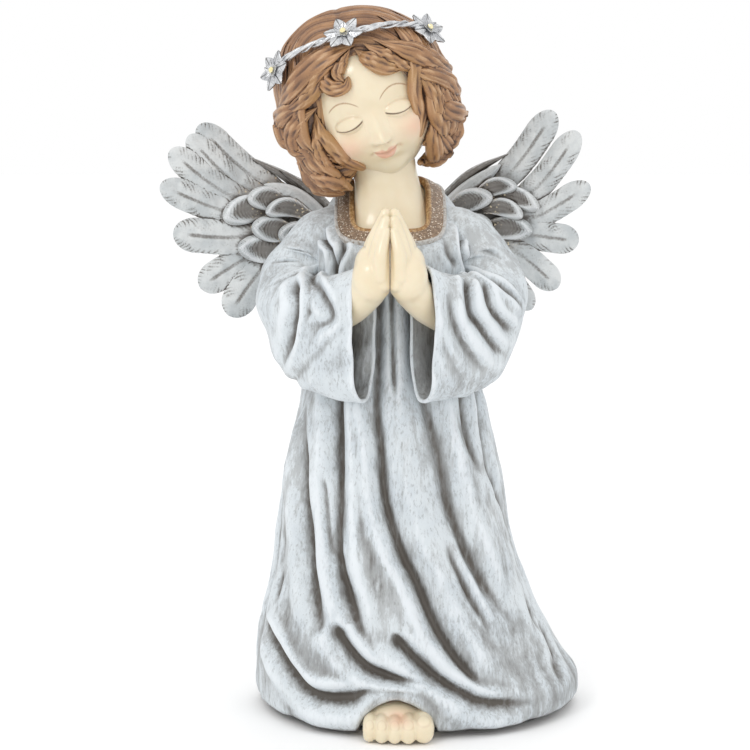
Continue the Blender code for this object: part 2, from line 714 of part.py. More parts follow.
def main():
    clear_scene()
    robe = build_robe()
    robe_cutter = robe_clearance()
    plate, _ = build_base()
    collar = collar_shape("collar_trim", robe_cutter, 0.0, "bronze_glitter")
    collar_cutter = collar_shape("cutter_collar", robe_cutter, JOINT_GAP)
    for side_name in SIDES:
        hand = hand_shape(f"{side_name}_hand", side_name, 0.0, "skin_glaze")
        boolean(hand, robe_cutter)
        hand_cutter = hand_shape(f"cutter_{side_name}_hand", side_name, JOINT_GAP)
        build_sleeve(f"{side_name}_sleeve", side_name, 0.0, "robe_paint", [robe_cutter, collar_cutter, hand_cutter])
        sleeve_cutter = build_sleeve(f"cutter_{side_name}_sleeve", side_name, JOINT_GAP, None, [])
        wing = build_wing(side_name, [robe_cutter, sleeve_cutter])
        build_wing_pins(side_name, wing, robe)
    head_shape("head", 0.0, "skin_glaze")
    head_cutter = head_shape("cutter_head", JOINT_GAP)
    boolean(robe, head_cutter)
    boolean(collar, head_cutter)
    build_hair(head_cutter, [robe_cutter, collar_cutter])
    build_circlet()
    build_flowers()
    foot_shape("foot", 0.0, "skin_glaze")
    foot_cutter = foot_shape("cutter_foot", JOINT_GAP)
    boolean(robe, foot_cutter)
    boolean(plate, foot_cutter)


main()
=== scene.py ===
import math

import bpy
import numpy as np
from mathutils import Matrix, Vector
from mathutils.bvhtree import BVHTree


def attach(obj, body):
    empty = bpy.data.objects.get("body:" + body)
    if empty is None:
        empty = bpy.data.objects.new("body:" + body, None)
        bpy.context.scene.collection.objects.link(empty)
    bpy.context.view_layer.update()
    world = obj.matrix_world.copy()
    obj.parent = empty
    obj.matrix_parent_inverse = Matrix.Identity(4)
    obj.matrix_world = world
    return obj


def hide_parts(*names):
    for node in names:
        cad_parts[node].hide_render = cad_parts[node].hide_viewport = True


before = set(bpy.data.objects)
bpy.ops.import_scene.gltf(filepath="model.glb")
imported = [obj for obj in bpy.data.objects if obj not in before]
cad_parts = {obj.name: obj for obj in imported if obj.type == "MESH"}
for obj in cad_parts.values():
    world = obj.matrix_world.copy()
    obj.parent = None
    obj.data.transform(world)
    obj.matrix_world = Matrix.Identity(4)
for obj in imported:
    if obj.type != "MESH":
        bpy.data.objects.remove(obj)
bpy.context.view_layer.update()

# All places and sizes of the figure are in millimetres in the CAD frame. new_mesh turns them into metres.
MM = 0.001
TURN = 2 * math.pi
SIDE = {"right": -1, "left": 1}
TORSO_X, PALMS_X = -6.5, -8.0
EYE = np.array([-15.0, -1086.5, 339.1])  # where the viewer stands
AIM_HEIGHT = 167  # the camera looks at the middle of the figure


# ---- camera, floor and light -----------------------------------------------------------------------------------


def placed(name, data):
    """A new object in the scene."""
    obj = bpy.data.objects.new(name, data)
    bpy.context.scene.collection.objects.link(obj)
    return obj


def build_camera():
    data = bpy.data.cameras.new("camera")
    data.lens, data.sensor_width = 105.6, 36.0
    camera = placed("camera", data)
    camera.location = EYE * MM
    aim = Vector((EYE[0] * MM, 0, AIM_HEIGHT * MM)) - camera.location
    camera.rotation_euler = aim.to_track_quat("-Z", "Y").to_euler()
    bpy.context.scene.camera = camera


def area_light(name, place, size, power):
    """A round lamp that points at the middle of the figure. Its place and size are in metres."""
    data = bpy.data.lights.new(name, "AREA")
    data.shape, data.size, data.energy = "DISK", size, power
    light = placed(name, data)
    light.location = place
    light.rotation_euler = (Vector((0, 0, 0.2)) - light.location).to_track_quat("-Z", "Y").to_euler()


def build_stage():
    mesh = bpy.data.meshes.new("floor")
    mesh.from_pydata([(-4, -4, 0), (4, -4, 0), (4, 4, 0), (-4, 4, 0)], [], [(0, 1, 2, 3)])
    paper = bpy.data.materials.new("floor_paper")
    paper.use_nodes = True
    shader = paper.node_tree.nodes["Principled BSDF"]
    shader.inputs["Base Color"].default_value = (0.96, 0.96, 0.96, 1)
    shader.inputs["Roughness"].default_value = 0.9
    mesh.materials.append(paper)
    placed("floor", mesh)
    world = bpy.data.worlds.new("studio")
    world.use_nodes = True
    sky = world.node_tree.nodes["Background"].inputs
    sky["Color"].default_value = (1, 1, 1, 1)
    sky["Strength"].default_value = 1.0
    bpy.context.scene.world = world
    area_light("key", (-0.75, -1.0, 1.15), 0.45, 3.6)
    area_light("fill", (1.0, -0.8, 0.6), 0.9, 0.5)
    area_light("back", (0.3, 1.1, 1.0), 0.9, 1.2)
    sun = bpy.data.lights.new("overhead", "SUN")
    sun.energy, sun.angle = 0.22, 1.2
    placed("overhead", sun)
    bpy.context.scene.view_settings.view_transform = "Standard"


# ---- mesh helpers ------------------------------------------------------------------------------------------------


def spline(rows, samples):
    """Rows of numbers read from a Catmull-Rom curve through the given rows."""
    rows = np.asarray(rows, float)
    padded = np.vstack([2 * rows[0] - rows[1], rows, 2 * rows[-1] - rows[-2]])
    times = np.linspace(0, len(rows) - 1, samples)
    index = np.minimum(times.astype(int), len(rows) - 2)
    u = (times - index)[:, None]
    a, b, c, d = (padded[index + k] for k in range(4))
    return 0.5 * (2 * b + (c - a) * u + (2 * a - 5 * b + 4 * c - d) * u**2 + (3 * b - a - 3 * c + d) * u**3)


def full_turn(count):
    return np.linspace(0, TURN, count, endpoint=False)


def hump(x, width):
    return np.exp(-((x / width) ** 2))


def pulse(phase, sharpness):
    """A row of bumps from 0 to 1, one for each whole number of the phase."""
    return (0.5 - 0.5 * np.cos(TURN * phase)) ** sharpness


def smooth_step(x, low, high):
    t = np.clip((np.asarray(x, float) - low) / (high - low), 0, 1)
    return t * t * (3 - 2 * t)


def unit(v):
    v = np.asarray(v, float)
    return v / np.maximum(np.linalg.norm(v, axis=-1, keepdims=True), 1e-9)


def grid_faces(rows, columns):
    """Quads of a grid whose columns close round."""
    i = np.arange(rows - 1)[:, None] * columns
    j = np.arange(columns)[None, :]
    k = (j + 1) % columns
    return np.stack([i + j, i + k, i + columns + k, i + columns + j], -1).reshape(-1, 4)


def sphere_grid(turn, high):
    """Directions at each turn round +Z (a row) and each angle over the horizon (a column)."""
    return np.stack([np.cos(high) * np.cos(turn), np.cos(high) * np.sin(turn), np.sin(high) + 0 * turn], -1)


def latitudes(rows):
    """A column of even angles from near the lower pole to near the upper one."""
    return np.linspace(-math.pi / 2, math.pi / 2, rows + 2)[1:-1, None]


def new_mesh(name, points, faces, paint, node, layers=None, smooth=True):
    """A mesh object from points in millimetres. layers holds a float for each point, by name."""
    mesh = bpy.data.meshes.new(name)
    faces = faces.tolist() if isinstance(faces, np.ndarray) else faces
    mesh.from_pydata((np.asarray(points, float) * MM).tolist(), [], faces)
    for layer, values in (layers or {}).items():
        data = mesh.attributes.new(layer, "FLOAT", "POINT")
        data.data.foreach_set("value", np.asarray(values, np.float32).ravel())
    mesh.materials.append(paint)
    if smooth:
        mesh.shade_smooth()
    obj = placed(name, mesh)
    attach(obj, "root")
    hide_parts(node)


def joined(parts):
    """One list of points, faces and layers from several (points, faces, layers)."""
    points, faces, layers, start = [], [], {}, 0
    for part_points, part_faces, part_layers in parts:
        points.append(np.asarray(part_points, float))
        faces.append(np.asarray(part_faces) + start)
        for key, values in part_layers.items():
            layers.setdefault(key, []).append(np.asarray(values, float).ravel())
        start += len(part_points)
    return np.vstack(points), np.vstack(faces), {key: np.concatenate(values) for key, values in layers.items()}


def grid_normals(grid):
    """Outward normals of a grid whose rows go up and whose columns go anticlockwise seen from above."""
    across = np.roll(grid, -1, 1) - np.roll(grid, 1, 1)
    return unit(np.cross(across, np.gradient(grid, axis=0)))


def blur(field, passes):
    """Repeated 1-2-1 average over a grid."""
    for _ in range(passes):
        field = 0.5 * field + 0.25 * (np.roll(field, 1, 1) + np.roll(field, -1, 1))
        tall = np.concatenate([field[:1], field, field[-1:]], 0)
        field = 0.5 * field + 0.25 * (tall[2:] + tall[:-2])
    return field


def waves(points, size, seed, octaves=3):
    """Smooth noise between about -1 and 1 at a set of points, built from a few sine waves."""
    source = np.random.default_rng(seed)
    total = np.zeros(points.shape[:-1])
    for octave in range(octaves):
        for _ in range(5):
            direction = source.normal(size=3)
            direction *= TURN / size * 2**octave / np.linalg.norm(direction)
            total += 0.5**octave * np.sin(points @ direction + source.uniform(0, 6.3)) / 3
    return total


def on_view(points):
    """Where points appear to the viewer on the plane y = 0, as x and z."""
    reach = EYE[1] / (EYE[1] - points[..., 1])
    return np.stack([EYE[k] + (points[..., k] - EYE[k]) * reach for k in (0, 2)], -1)


class Sheet:
    """A grid surface, closed round, with lengths along it, on which folds are drawn as curves."""

    def __init__(self, grid):
        self.grid = grid
        self.shape = grid.shape[:2]
        self.columns = grid.shape[1]
        self.normals = grid_normals(grid)
        if ((grid - grid.mean(1, keepdims=True)) * self.normals).sum() < 0:
            self.normals = -self.normals
        self.spacing = np.linalg.norm(np.roll(grid, -1, 1) - grid, axis=-1).mean(1)  # of the columns, in each row
        climb = np.linalg.norm(np.diff(grid, axis=0), axis=-1).mean(1)
        self.height = np.concatenate([[0], np.cumsum(climb)])
        self.column = np.arange(self.columns)[None, :] * np.ones((self.shape[0], 1))
        self.depth, self.valleys, self.banks = (np.zeros(self.shape) for _ in range(3))

    def locate(self, curve):
        """Column and row height of each point of a curve drawn on the view plane, or given in space."""
        curve = np.asarray(curve, float)
        flat = self.grid.reshape(-1, 3)
        if curve.shape[1] == 2:
            hidden = self.normals[..., 1].ravel() > -0.02
            gap = np.linalg.norm(on_view(flat)[None] - curve[:, None], axis=-1) + np.where(hidden, 1e4, 0)
        else:
            gap = np.linalg.norm(flat[None] - curve[:, None], axis=-1)
        best = gap.argmin(1)
        return np.stack([best % self.columns, self.height[best // self.columns]], -1).astype(float)

    def distance(self, track):
        """Distance along the sheet to a track of (column, height), with its side and the share run along the track."""
        best = np.full(self.shape, 1e9)
        side, share = np.zeros(self.shape), np.zeros(self.shape)
        spacing = self.spacing[:, None]
        steps = np.diff(track, axis=0) * (self.spacing.mean(), 1)
        lengths = [math.hypot(*step) for step in steps]
        total, run = sum(lengths), 0.0
        for a, b, length in zip(track, track[1:], lengths):
            offset = (self.column - a[0] + self.columns / 2) % self.columns - self.columns / 2
            x, y = offset * spacing, self.height[:, None] - a[1]
            dx, dy = (b[0] - a[0]) * spacing, b[1] - a[1]
            t = np.clip((x * dx + y * dy) / np.maximum(dx * dx + dy * dy, 1e-9), 0, 1)
            gap = np.hypot(x - t * dx, y - t * dy)
            closer = gap < best
            best = np.where(closer, gap, best)
            side = np.where(closer, np.sign(dx * y - dy * x), side)
            share = np.where(closer, (run + t * length) / total, share)
            run += length
        return best, side, share

    def fold(self, curve, depth, width, ridge, lean, taper):
        """Sinks a valley along a curve and lifts soft ridges beside it. lean moves the steep wall to one side."""
        track = self.locate(curve)
        for i in range(1, len(track)):  # the short way round from each point to the next
            track[i, 0] -= self.columns * round((track[i, 0] - track[i - 1, 0]) / self.columns)
        gap, side, share = self.distance(spline(track, 40))
        strength = smooth_step(share, 0, taper[0]) if taper[0] else 1.0
        strength = strength * (1 - smooth_step(share, 1 - taper[1], 1) if taper[1] else 1.0)
        near = width * (1 - lean * side) * (0.5 + 0.5 * np.sqrt(strength))
        valley = 0.55 * hump(gap, 0.66 * near) + 0.45 * hump(gap, 1.8 * near)
        self.valleys = np.maximum(self.valleys, strength * depth * valley)
        self.banks = np.maximum(self.banks, strength * depth * ridge * hump(gap - 2.6 * near, 1.2 * near))

    def finished(self):
        """The displaced grid and its cavity: above 0 in a hollow and below 0 on a ridge."""
        depth = blur(self.depth + self.banks - self.valleys, 1)
        grid = self.grid + self.normals * depth[..., None]
        cavity = np.zeros_like(depth)
        for passes, weight in ((4, 0.6), (16, 0.5), (60, 0.4)):
            cavity += weight * (blur(depth, passes) - depth)
        return grid, 1.9 * np.tanh(cavity / 1.9)


# ---- paint -------------------------------------------------------------------------------------------------------


class Paint:
    """Short names for building a node material."""

    def __init__(self, name):
        self.material = bpy.data.materials.new(name)
        self.material.use_nodes = True
        self.tree = self.material.node_tree
        self.shader = self.tree.nodes["Principled BSDF"]
        self.place = self.node("ShaderNodeTexCoord").outputs["Object"]

    def node(self, kind, **settings):
        made = self.tree.nodes.new(kind)
        for key, value in settings.items():
            setattr(made, key, value)
        return made

    def link(self, value, socket):
        if isinstance(value, bpy.types.NodeSocket):
            self.tree.links.new(value, socket)
        elif isinstance(value, tuple) and len(value) == 3 and socket.type == "RGBA":
            socket.default_value = (*value, 1)
        else:
            socket.default_value = value

    def layer(self, name):
        return self.node("ShaderNodeAttribute", attribute_name=name).outputs["Fac"]

    def maths(self, operation, a, b):
        made = self.node("ShaderNodeMath", operation=operation)
        self.link(a, made.inputs[0])
        self.link(b, made.inputs[1])
        return made.outputs[0]

    def plus(self, a, b):
        return self.maths("ADD", a, b)

    def minus(self, a, b):
        return self.maths("SUBTRACT", a, b)

    def times(self, a, b):
        return self.maths("MULTIPLY", a, b)

    def swing(self, value, amount):
        """A noise from 0 to 1, as an amount to both sides of 0."""
        return self.times(self.minus(value, 0.5), amount)

    def texture(self, kind, scale, **settings):
        made = self.node(kind)
        made.inputs["Scale"].default_value = scale
        for key, value in settings.items():
            self.link(value, made.inputs[key])
        return made

    def stretch(self, scale, rotation=(0, 0, 0)):
        return self.texture("ShaderNodeMapping", scale, Vector=self.place, Rotation=rotation).outputs[0]

    def noise(self, scale, detail=4.0, roughness=0.6, at=None):
        settings = {"Vector": at or self.place, "Detail": detail, "Roughness": roughness}
        return self.texture("ShaderNodeTexNoise", scale, **settings).outputs["Fac"]

    def cells(self, scale):
        return self.texture("ShaderNodeTexVoronoi", scale, Vector=self.place).outputs

    def spread(self, value, low, high, to_low=0.0, to_high=1.0):
        made = self.node("ShaderNodeMapRange", interpolation_type="SMOOTHSTEP")
        keys = ("Value", "From Min", "From Max", "To Min", "To Max")
        for key, number in zip(keys, (value, low, high, to_low, to_high)):
            self.link(number, made.inputs[key])
        return made.outputs[0]

    def mix(self, share, a, b):
        made = self.node("ShaderNodeMix", data_type="RGBA")
        for value, number in ((share, 0), (a, 6), (b, 7)):  # its factor and its two colours
            self.link(value, made.inputs[number])
        return made.outputs[2]

    def bump(self, height, strength, distance):
        made = self.node("ShaderNodeBump")
        self.link(height, made.inputs["Height"])
        made.inputs["Strength"].default_value = strength
        made.inputs["Distance"].default_value = distance
        self.tree.links.new(made.outputs[0], self.shader.inputs["Normal"])

    def set(self, **values):
        for key, value in values.items():
            self.link(value, self.shader.inputs[key.replace("_", " ")])
        return self.material


def antique_paint(name, pale, cool, grey, brown):
    """White dry-brush over blue-grey, with a grey and a brown wash that stays in the hollows. The same wash also lays
    painted shade inside the hem and the sleeves and along the bottom of the hem.
    """
    p = Paint(name)
    cavity = p.layer("cavity")
    streak = p.noise(520, 6, 0.62, p.stretch((1, 1, 0.22)))
    cloud = p.noise(38, 4, 0.6)
    speck = p.noise(900, 3, 0.7, p.stretch((1, 1, 0.35)))
    body = p.mix(p.spread(cloud, 0.35, 0.65), pale, cool)
    # The wash is where the surface is hollow, broken up by the brush; the cavity layer also brings the painted shade.
    ragged = p.swing(streak, 2.0)
    patch = p.swing(cloud, 1.6)
    wash_and_shade = p.plus(p.plus(cavity, ragged), patch)
    wash = p.spread(wash_and_shade, -0.05, 1.15)
    deep = p.spread(p.plus(cavity, p.times(ragged, 1.1)), 0.7, 1.9)
    scratch = p.noise(240, 8, 0.78, p.stretch((1, 1, 0.17)))
    broad = p.noise(24, 3, 0.5)
    shaded = p.plus(p.times(broad, 0.55), p.times(cavity, 0.10))
    mottle = p.spread(p.plus(scratch, shaded), 0.74, 0.93, 0, 0.55)
    fleck = p.spread(p.plus(speck, p.times(cloud, 0.3)), 0.68, 0.80, 0, 0.4)
    colour = p.mix(fleck, p.mix(mottle, body, tuple(1.35 * v for v in grey)), grey)
    colour = p.mix(p.times(wash, 0.72), colour, grey)
    colour = p.mix(deep, colour, brown)
    edge = p.spread(p.minus(ragged, cavity), 0.3, 1.1, 0, 0.8)
    colour = p.mix(edge, colour, (0.76, 0.80, 0.83))
    p.bump(p.plus(p.times(streak, 0.8), p.times(speck, 0.4)), 0.35, 0.0006)
    return p.set(Base_Color=colour, Roughness=p.spread(streak, 0.3, 0.7, 0.5, 0.68))


# ---- robe --------------------------------------------------------------------------------------------------------

# (height, centre x, half width, depth forwards, depth backwards, slope, squareness)
ROBE_RINGS = [
    (1.6, 5.5, 77.0, 61.5, 47.0, 0.0, 2.2),
    (3.5, 6.0, 79.5, 64.0, 49.5, 0.0, 2.2),
    (9.0, 6.5, 81.0, 65.0, 51.0, 0.0, 2.2),
    (17.0, 6.0, 80.5, 64.0, 51.0, 0.0, 2.2),
    (28.0, 2.0, 76.5, 62.0, 50.0, 0.0, 2.2),
    (45.0, -1.5, 70.5, 60.0, 48.0, 0.0, 2.2),
    (70.0, -4.0, 62.5, 56.0, 45.0, 0.0, 2.2),
    (100.0, -6.0, 56.5, 51.5, 42.0, 0.0, 2.2),
    (134.0, -6.5, 50.5, 46.5, 38.0, 0.0, 2.2),
    (165.0, -6.5, 44.0, 41.5, 34.0, 0.0, 2.2),
    (195.0, -6.5, 40.5, 37.5, 31.5, 0.04, 2.2),
    (220.0, -6.5, 40.0, 35.0, 29.5, 0.1, 2.3),
    (237.0, -6.5, 38.0, 32.5, 27.5, 0.25, 2.9),
    (247.0, -7.0, 31.0, 29.5, 24.0, 0.42, 4.2),
    (253.0, -7.5, 23.0, 26.0, 19.0, 0.56, 4.6),
    (255.0, -7.5, 18.0, 23.5, 15.5, 0.59, 5.5),
]
ROBE_Y = -3.0
# Valleys of the cloth seen from the viewer, on the plane y = 0: (curve, depth, width, ridge, lean, taper)
FRONT_FOLDS = [
    ([(-68, 75), (-72, 51), (-72, 38)], 2.2, 2.4, 0.3, 0, (0.3, 0.3)),
    ([(-50, 158), (-51, 134), (-51, 103), (-49, 82), (-46, 54), (-38, 22)], 5.5, 3.6, 0.4, 0.2, (0.35, 0.3)),
    ([(-34, 160), (-34, 125), (-34, 92), (-33, 72), (-30, 60), (-26, 46), (-17, 23)], 6.5, 3.2, 0.4, 0.15, (0, 0.25)),
    ([(-41, 124), (-40, 103), (-38, 83), (-35, 70)], 4.0, 2.2, 0.35, 0, (0.3, 0.1)),
    (
        [(-14, 205), (-14, 170), (-14, 148), (-12, 131), (-10, 103), (-1, 75), (6, 60), (18, 34), (32, 14), (43, 4), (71, -2)],
        6.5, 3.6, 0.45, -0.15, (0, 0.2),
    ),
    (
        [(5, 200), (9, 170), (12, 152), (16, 136), (22, 110), (30, 84), (40, 64), (52, 44), (64, 31)],
        6.5, 5.2, 0.4, 0.35, (0, 0.35),
    ),
    ([(19, 96), (22, 84), (26, 71), (33, 55), (40, 42), (47, 31)], 4.2, 2.4, 0.35, 0.3, (0.4, 0.3)),
    ([(29, 160), (32, 136), (38, 116), (41, 106)], 3.6, 2.6, 0.35, 0, (0, 0.5)),
    ([(36, 161), (41, 125), (48, 103), (53, 86)], 3.4, 2.8, 0.35, 0, (0, 0.4)),
    ([(-70, 44), (-66, 28), (-59, 14), (-49, 3), (-34, 0), (-10, 4)], 6.0, 3.4, 0.45, 0.2, (0.2, 0.25)),
    ([(-36, 41), (-30, 28), (-19, 16), (-4, 10), (17, 7)], 5.5, 2.8, 0.4, 0.25, (0.15, 0.3)),
    ([(-7, 36), (1, 26), (15, 13), (30, 4), (43, -2), (70, -3)], 6.0, 3.2, 0.4, 0.25, (0.12, 0.3)),
    ([(-60.5, 70), (-62.5, 59), (-64, 47)], 2.6, 1.5, 0.2, 0, (0.5, 0.5)),
    ([(64, 48), (74, 27), (81, 6)], 2.6, 2.6, 0.35, 0, (0.4, 0.3)),
    ([(-7, 207), (-6, 180), (-5, 150)], 4.0, 2.2, 0.5, 0, (0, 0.3)),
    ([(60, 60), (70, 30)], 2.0, 3.0, 0.3, 0, (0.4, 0.4)),
    ([(-41, 243), (-38, 231), (-35, 217)], 5.2, 1.4, 0.3, 0, (0.5, 0)),
    ([(-29, 239), (-31, 230), (-35, 217)], 4.8, 1.3, 0.3, 0, (0.5, 0)),
    ([(26, 245), (28, 232), (31, 216)], 5.2, 1.4, 0.3, 0, (0.5, 0)),
    ([(39, 243), (35, 231), (31, 217)], 4.8, 1.3, 0.3, 0, (0.5, 0)),
    ([(17, 238), (21, 229), (26, 220)], 2.0, 1.4, 0.3, 0, (0.4, 0.2)),
    ([(-62, 120), (-66, 90)], 2.2, 3.0, 0.3, 0, (0.4, 0.4)),
]
# Valleys on the back and the sides: (degrees from +X, degrees at the hem, top, bottom, depth, width)
BACK_FOLDS = [
    (8, -4, 150, 24, 3.6, 3.2),
    (30, 12, 182, 10, 5.2, 3.8),
    (45, 36, 128, 30, 3.0, 2.6),
    (62, 47, 196, 8, 6.0, 4.2),
    (80, 78, 120, 20, 3.4, 3.0),
    (93, 82, 176, 52, 4.6, 3.2),
    (104, 110, 204, 10, 6.2, 4.0),
    (124, 128, 142, 14, 3.6, 3.0),
    (138, 150, 188, 12, 5.4, 4.0),
    (157, 160, 120, 34, 3.0, 2.8),
    (172, 178, 168, 10, 4.8, 3.6),
    (190, 192, 120, 36, 2.6, 2.8),
]


def robe_ring(row, turn):
    """Points of a ring of the robe at the given turns. Each half is its own squared ellipse."""
    height, centre_x, half_width, front, back, slope, squareness = row
    c, s = np.cos(turn), np.sin(turn)
    scale = (np.abs(c) ** squareness + np.abs(s) ** squareness) ** (-1 / squareness)
    y = s * scale * np.where(s < 0, front, back)
    return np.stack([centre_x + c * scale * half_width, ROBE_Y + y, height + slope * y], -1)


def hem_arch(grid):
    """Lifts the hem over the foot and lets it swell beside it."""
    x, y, z = grid[..., 0], grid[..., 1], grid[..., 2]
    across = (x + 4.2) / 19.4
    at_front, low = smooth_step(-y, 20, 45), smooth_step(z, 34, 2)
    lift = 14.5 * np.clip(1 - across**2, 0, 1) ** 0.75 * at_front
    grid[..., 2] = z + lift * low**1.4
    grid[..., 1] -= 2.0 * np.exp(-((np.abs(across) - 1.05) ** 2) / 0.08) * at_front * low
    return grid


def build_robe(paint):
    columns, rows, samples = 440, 232, 600
    turn = full_turn(columns)
    levels = spline(ROBE_RINGS, samples)
    # Rows are spread evenly over the height and the width together.
    length = np.concatenate([[0], np.cumsum(np.hypot(np.diff(levels[:, 0]), np.diff(levels[:, 2]) * 0.8))])
    even = np.interp(np.linspace(0, length[-1], rows), length, np.arange(samples))
    levels = np.stack([np.interp(even, np.arange(samples), column) for column in levels.T], 1)
    grid = np.array([robe_ring(row, turn) for row in levels])
    sheet = Sheet(grid)
    for fold in FRONT_FOLDS:
        sheet.fold(*fold)
    for start, end, top, bottom, depth, width in BACK_FOLDS:
        curve = []
        for share in np.linspace(0, 1, 7):
            height = top + (bottom - top) * share
            angle = math.radians(start + (end - start) * share**1.5)
            row = [np.interp(height, levels[:, 0], column) for column in levels.T]
            curve.append(robe_ring(row, np.array(angle)))
        sheet.fold(curve, depth, width, 0.4, 0.15 if start % 2 else -0.15, (0.3, 0.3))
    soft = waves(grid * (1, 1, 0.45), 34, 3)
    rough = waves(grid * (1, 1, 0.5), 9, 5)
    z = grid[..., 2]
    sheet.depth += (1.1 * soft + 0.18 * rough) * smooth_step(z, 246, 225)  # none near the neckline
    sheet.depth -= 1.6 * smooth_step(z, 6, 1)  # the hem rolls under
    grid, cavity = sheet.finished()
    grid = hem_arch(grid)
    z = grid[..., 2]
    # Darker towards the bottom: the wash grows from 170 mm down to 20 mm, and painted shade darkens the lowest 12 mm
    # where the hem rolls under.
    darker_towards_hem = 0.10 + 0.22 * smooth_step(z, 170, 20) + 0.5 * smooth_step(z, 12, 1)
    # The inside of the hem goes straight up from the lip, as far as the base plate.
    lip = grid[0] - (grid[0] - grid[0].mean(0)) * (0.03, 0.03, 0)
    inner = [lip + (0, 0, rise) for rise in (10.0, 5.0, 0.0)]
    outer = np.concatenate([inner, grid])
    # Painted shade: the inside of the hem gets a strong, even wash.
    cavity = np.concatenate([np.full((len(inner), columns), 0.9), cavity + darker_towards_hem])
    faces = grid_faces(len(outer), columns)
    new_mesh("robe", outer.reshape(-1, 3), faces, paint, "robe_shell", {"cavity": cavity})


# ---- sleeves -----------------------------------------------------------------------------------------------------

# From the middle of the shoulders, for the side where x is positive: centre, direction, upwards, half width, up, down
SLEEVE_RINGS = [
    ((10.0, 2.0, 240.0), (0.95, 0.0, -0.3), (0.3, 0.0, 0.95), 11.0, 9.0, 11.0),
    ((26.0, 1.0, 236.0), (0.88, 0.0, -0.48), (0.48, 0.0, 0.88), 16.0, 17.0, 17.0),
    ((39.0, -2.0, 226.0), (0.55, -0.25, -0.8), (0.8, 0.0, 0.6), 19.0, 18.0, 21.0),
    ((46.0, -10.0, 210.0), (0.2, -0.85, -0.4), (0.36, -0.3, 0.9), 21.0, 20.5, 28.0),
    ((43.5, -24.0, 202.0), (-0.25, -0.95, 0.0), (0.1, 0.0, 1.0), 21.0, 21.5, 33.0),
    ((34.5, -40.5, 199.5), (-0.65, -0.75, 0.0), (0.0, 0.0, 1.0), 17.5, 22.0, 35.0),
    ((24.0, -50.0, 198.5), (-0.8, -0.6, 0.0), (0.0, 0.0, 1.0), 14.5, 25.0, 35.5),
    ((14.5, -54.5, 198.0), (-0.88, -0.48, 0.0), (0.0, 0.0, 1.0), 13.0, 29.5, 35.5),
]
# Valleys seen from the viewer: (curve, depth, width, ridge, lean, taper)
SLEEVE_FOLDS = {
    "right": [
        ([(-72, 207), (-64, 214), (-54, 218), (-44, 219.5), (-35, 219)], 4.0, 1.5, 0.5, 0.2, (0.5, 0)),
        ([(-53, 216), (-54, 203), (-56, 190), (-60, 176), (-62, 168)], 4.4, 1.8, 0.55, 0.2, (0.15, 0.5)),
        ([(-37, 217), (-39, 203), (-44, 190), (-51, 178), (-58, 169)], 3.4, 1.9, 0.55, 0.2, (0.2, 0.5)),
        ([(-45, 218), (-47, 205), (-50, 192), (-54, 181)], 2.0, 1.3, 0.5, 0, (0.2, 0.6)),
        ([(-29, 205), (-31, 190), (-36, 175), (-41, 165)], 1.4, 1.8, 0.5, 0, (0.4, 0.4)),
        ([(-62, 232), (-52, 229), (-42, 228)], 1.6, 1.6, 0.4, 0, (0.5, 0.4)),
        ([(-68, 222), (-60, 224), (-50, 223.5)], 1.5, 1.5, 0.4, 0, (0.5, 0.4)),
    ],
    "left": [
        ([(27, 219), (36, 218), (46, 214), (55, 206), (60, 198)], 4.0, 1.5, 0.5, -0.2, (0, 0.5)),
        ([(29, 217), (33, 203), (38, 192), (46, 181), (54, 173)], 4.2, 1.8, 0.55, -0.2, (0.15, 0.5)),
        ([(38, 215), (43, 204), (49, 194), (57, 186)], 3.4, 1.7, 0.55, -0.2, (0.15, 0.5)),
        ([(20, 214), (23, 199), (28, 186), (35, 175), (43, 167)], 2.8, 1.8, 0.5, -0.2, (0.3, 0.5)),
        ([(17, 196), (20, 182), (25, 171), (31, 163)], 1.6, 1.6, 0.5, 0, (0.4, 0.5)),
        ([(33, 229), (43, 228), (53, 221)], 1.6, 1.6, 0.4, 0, (0.4, 0.5)),
    ],
}


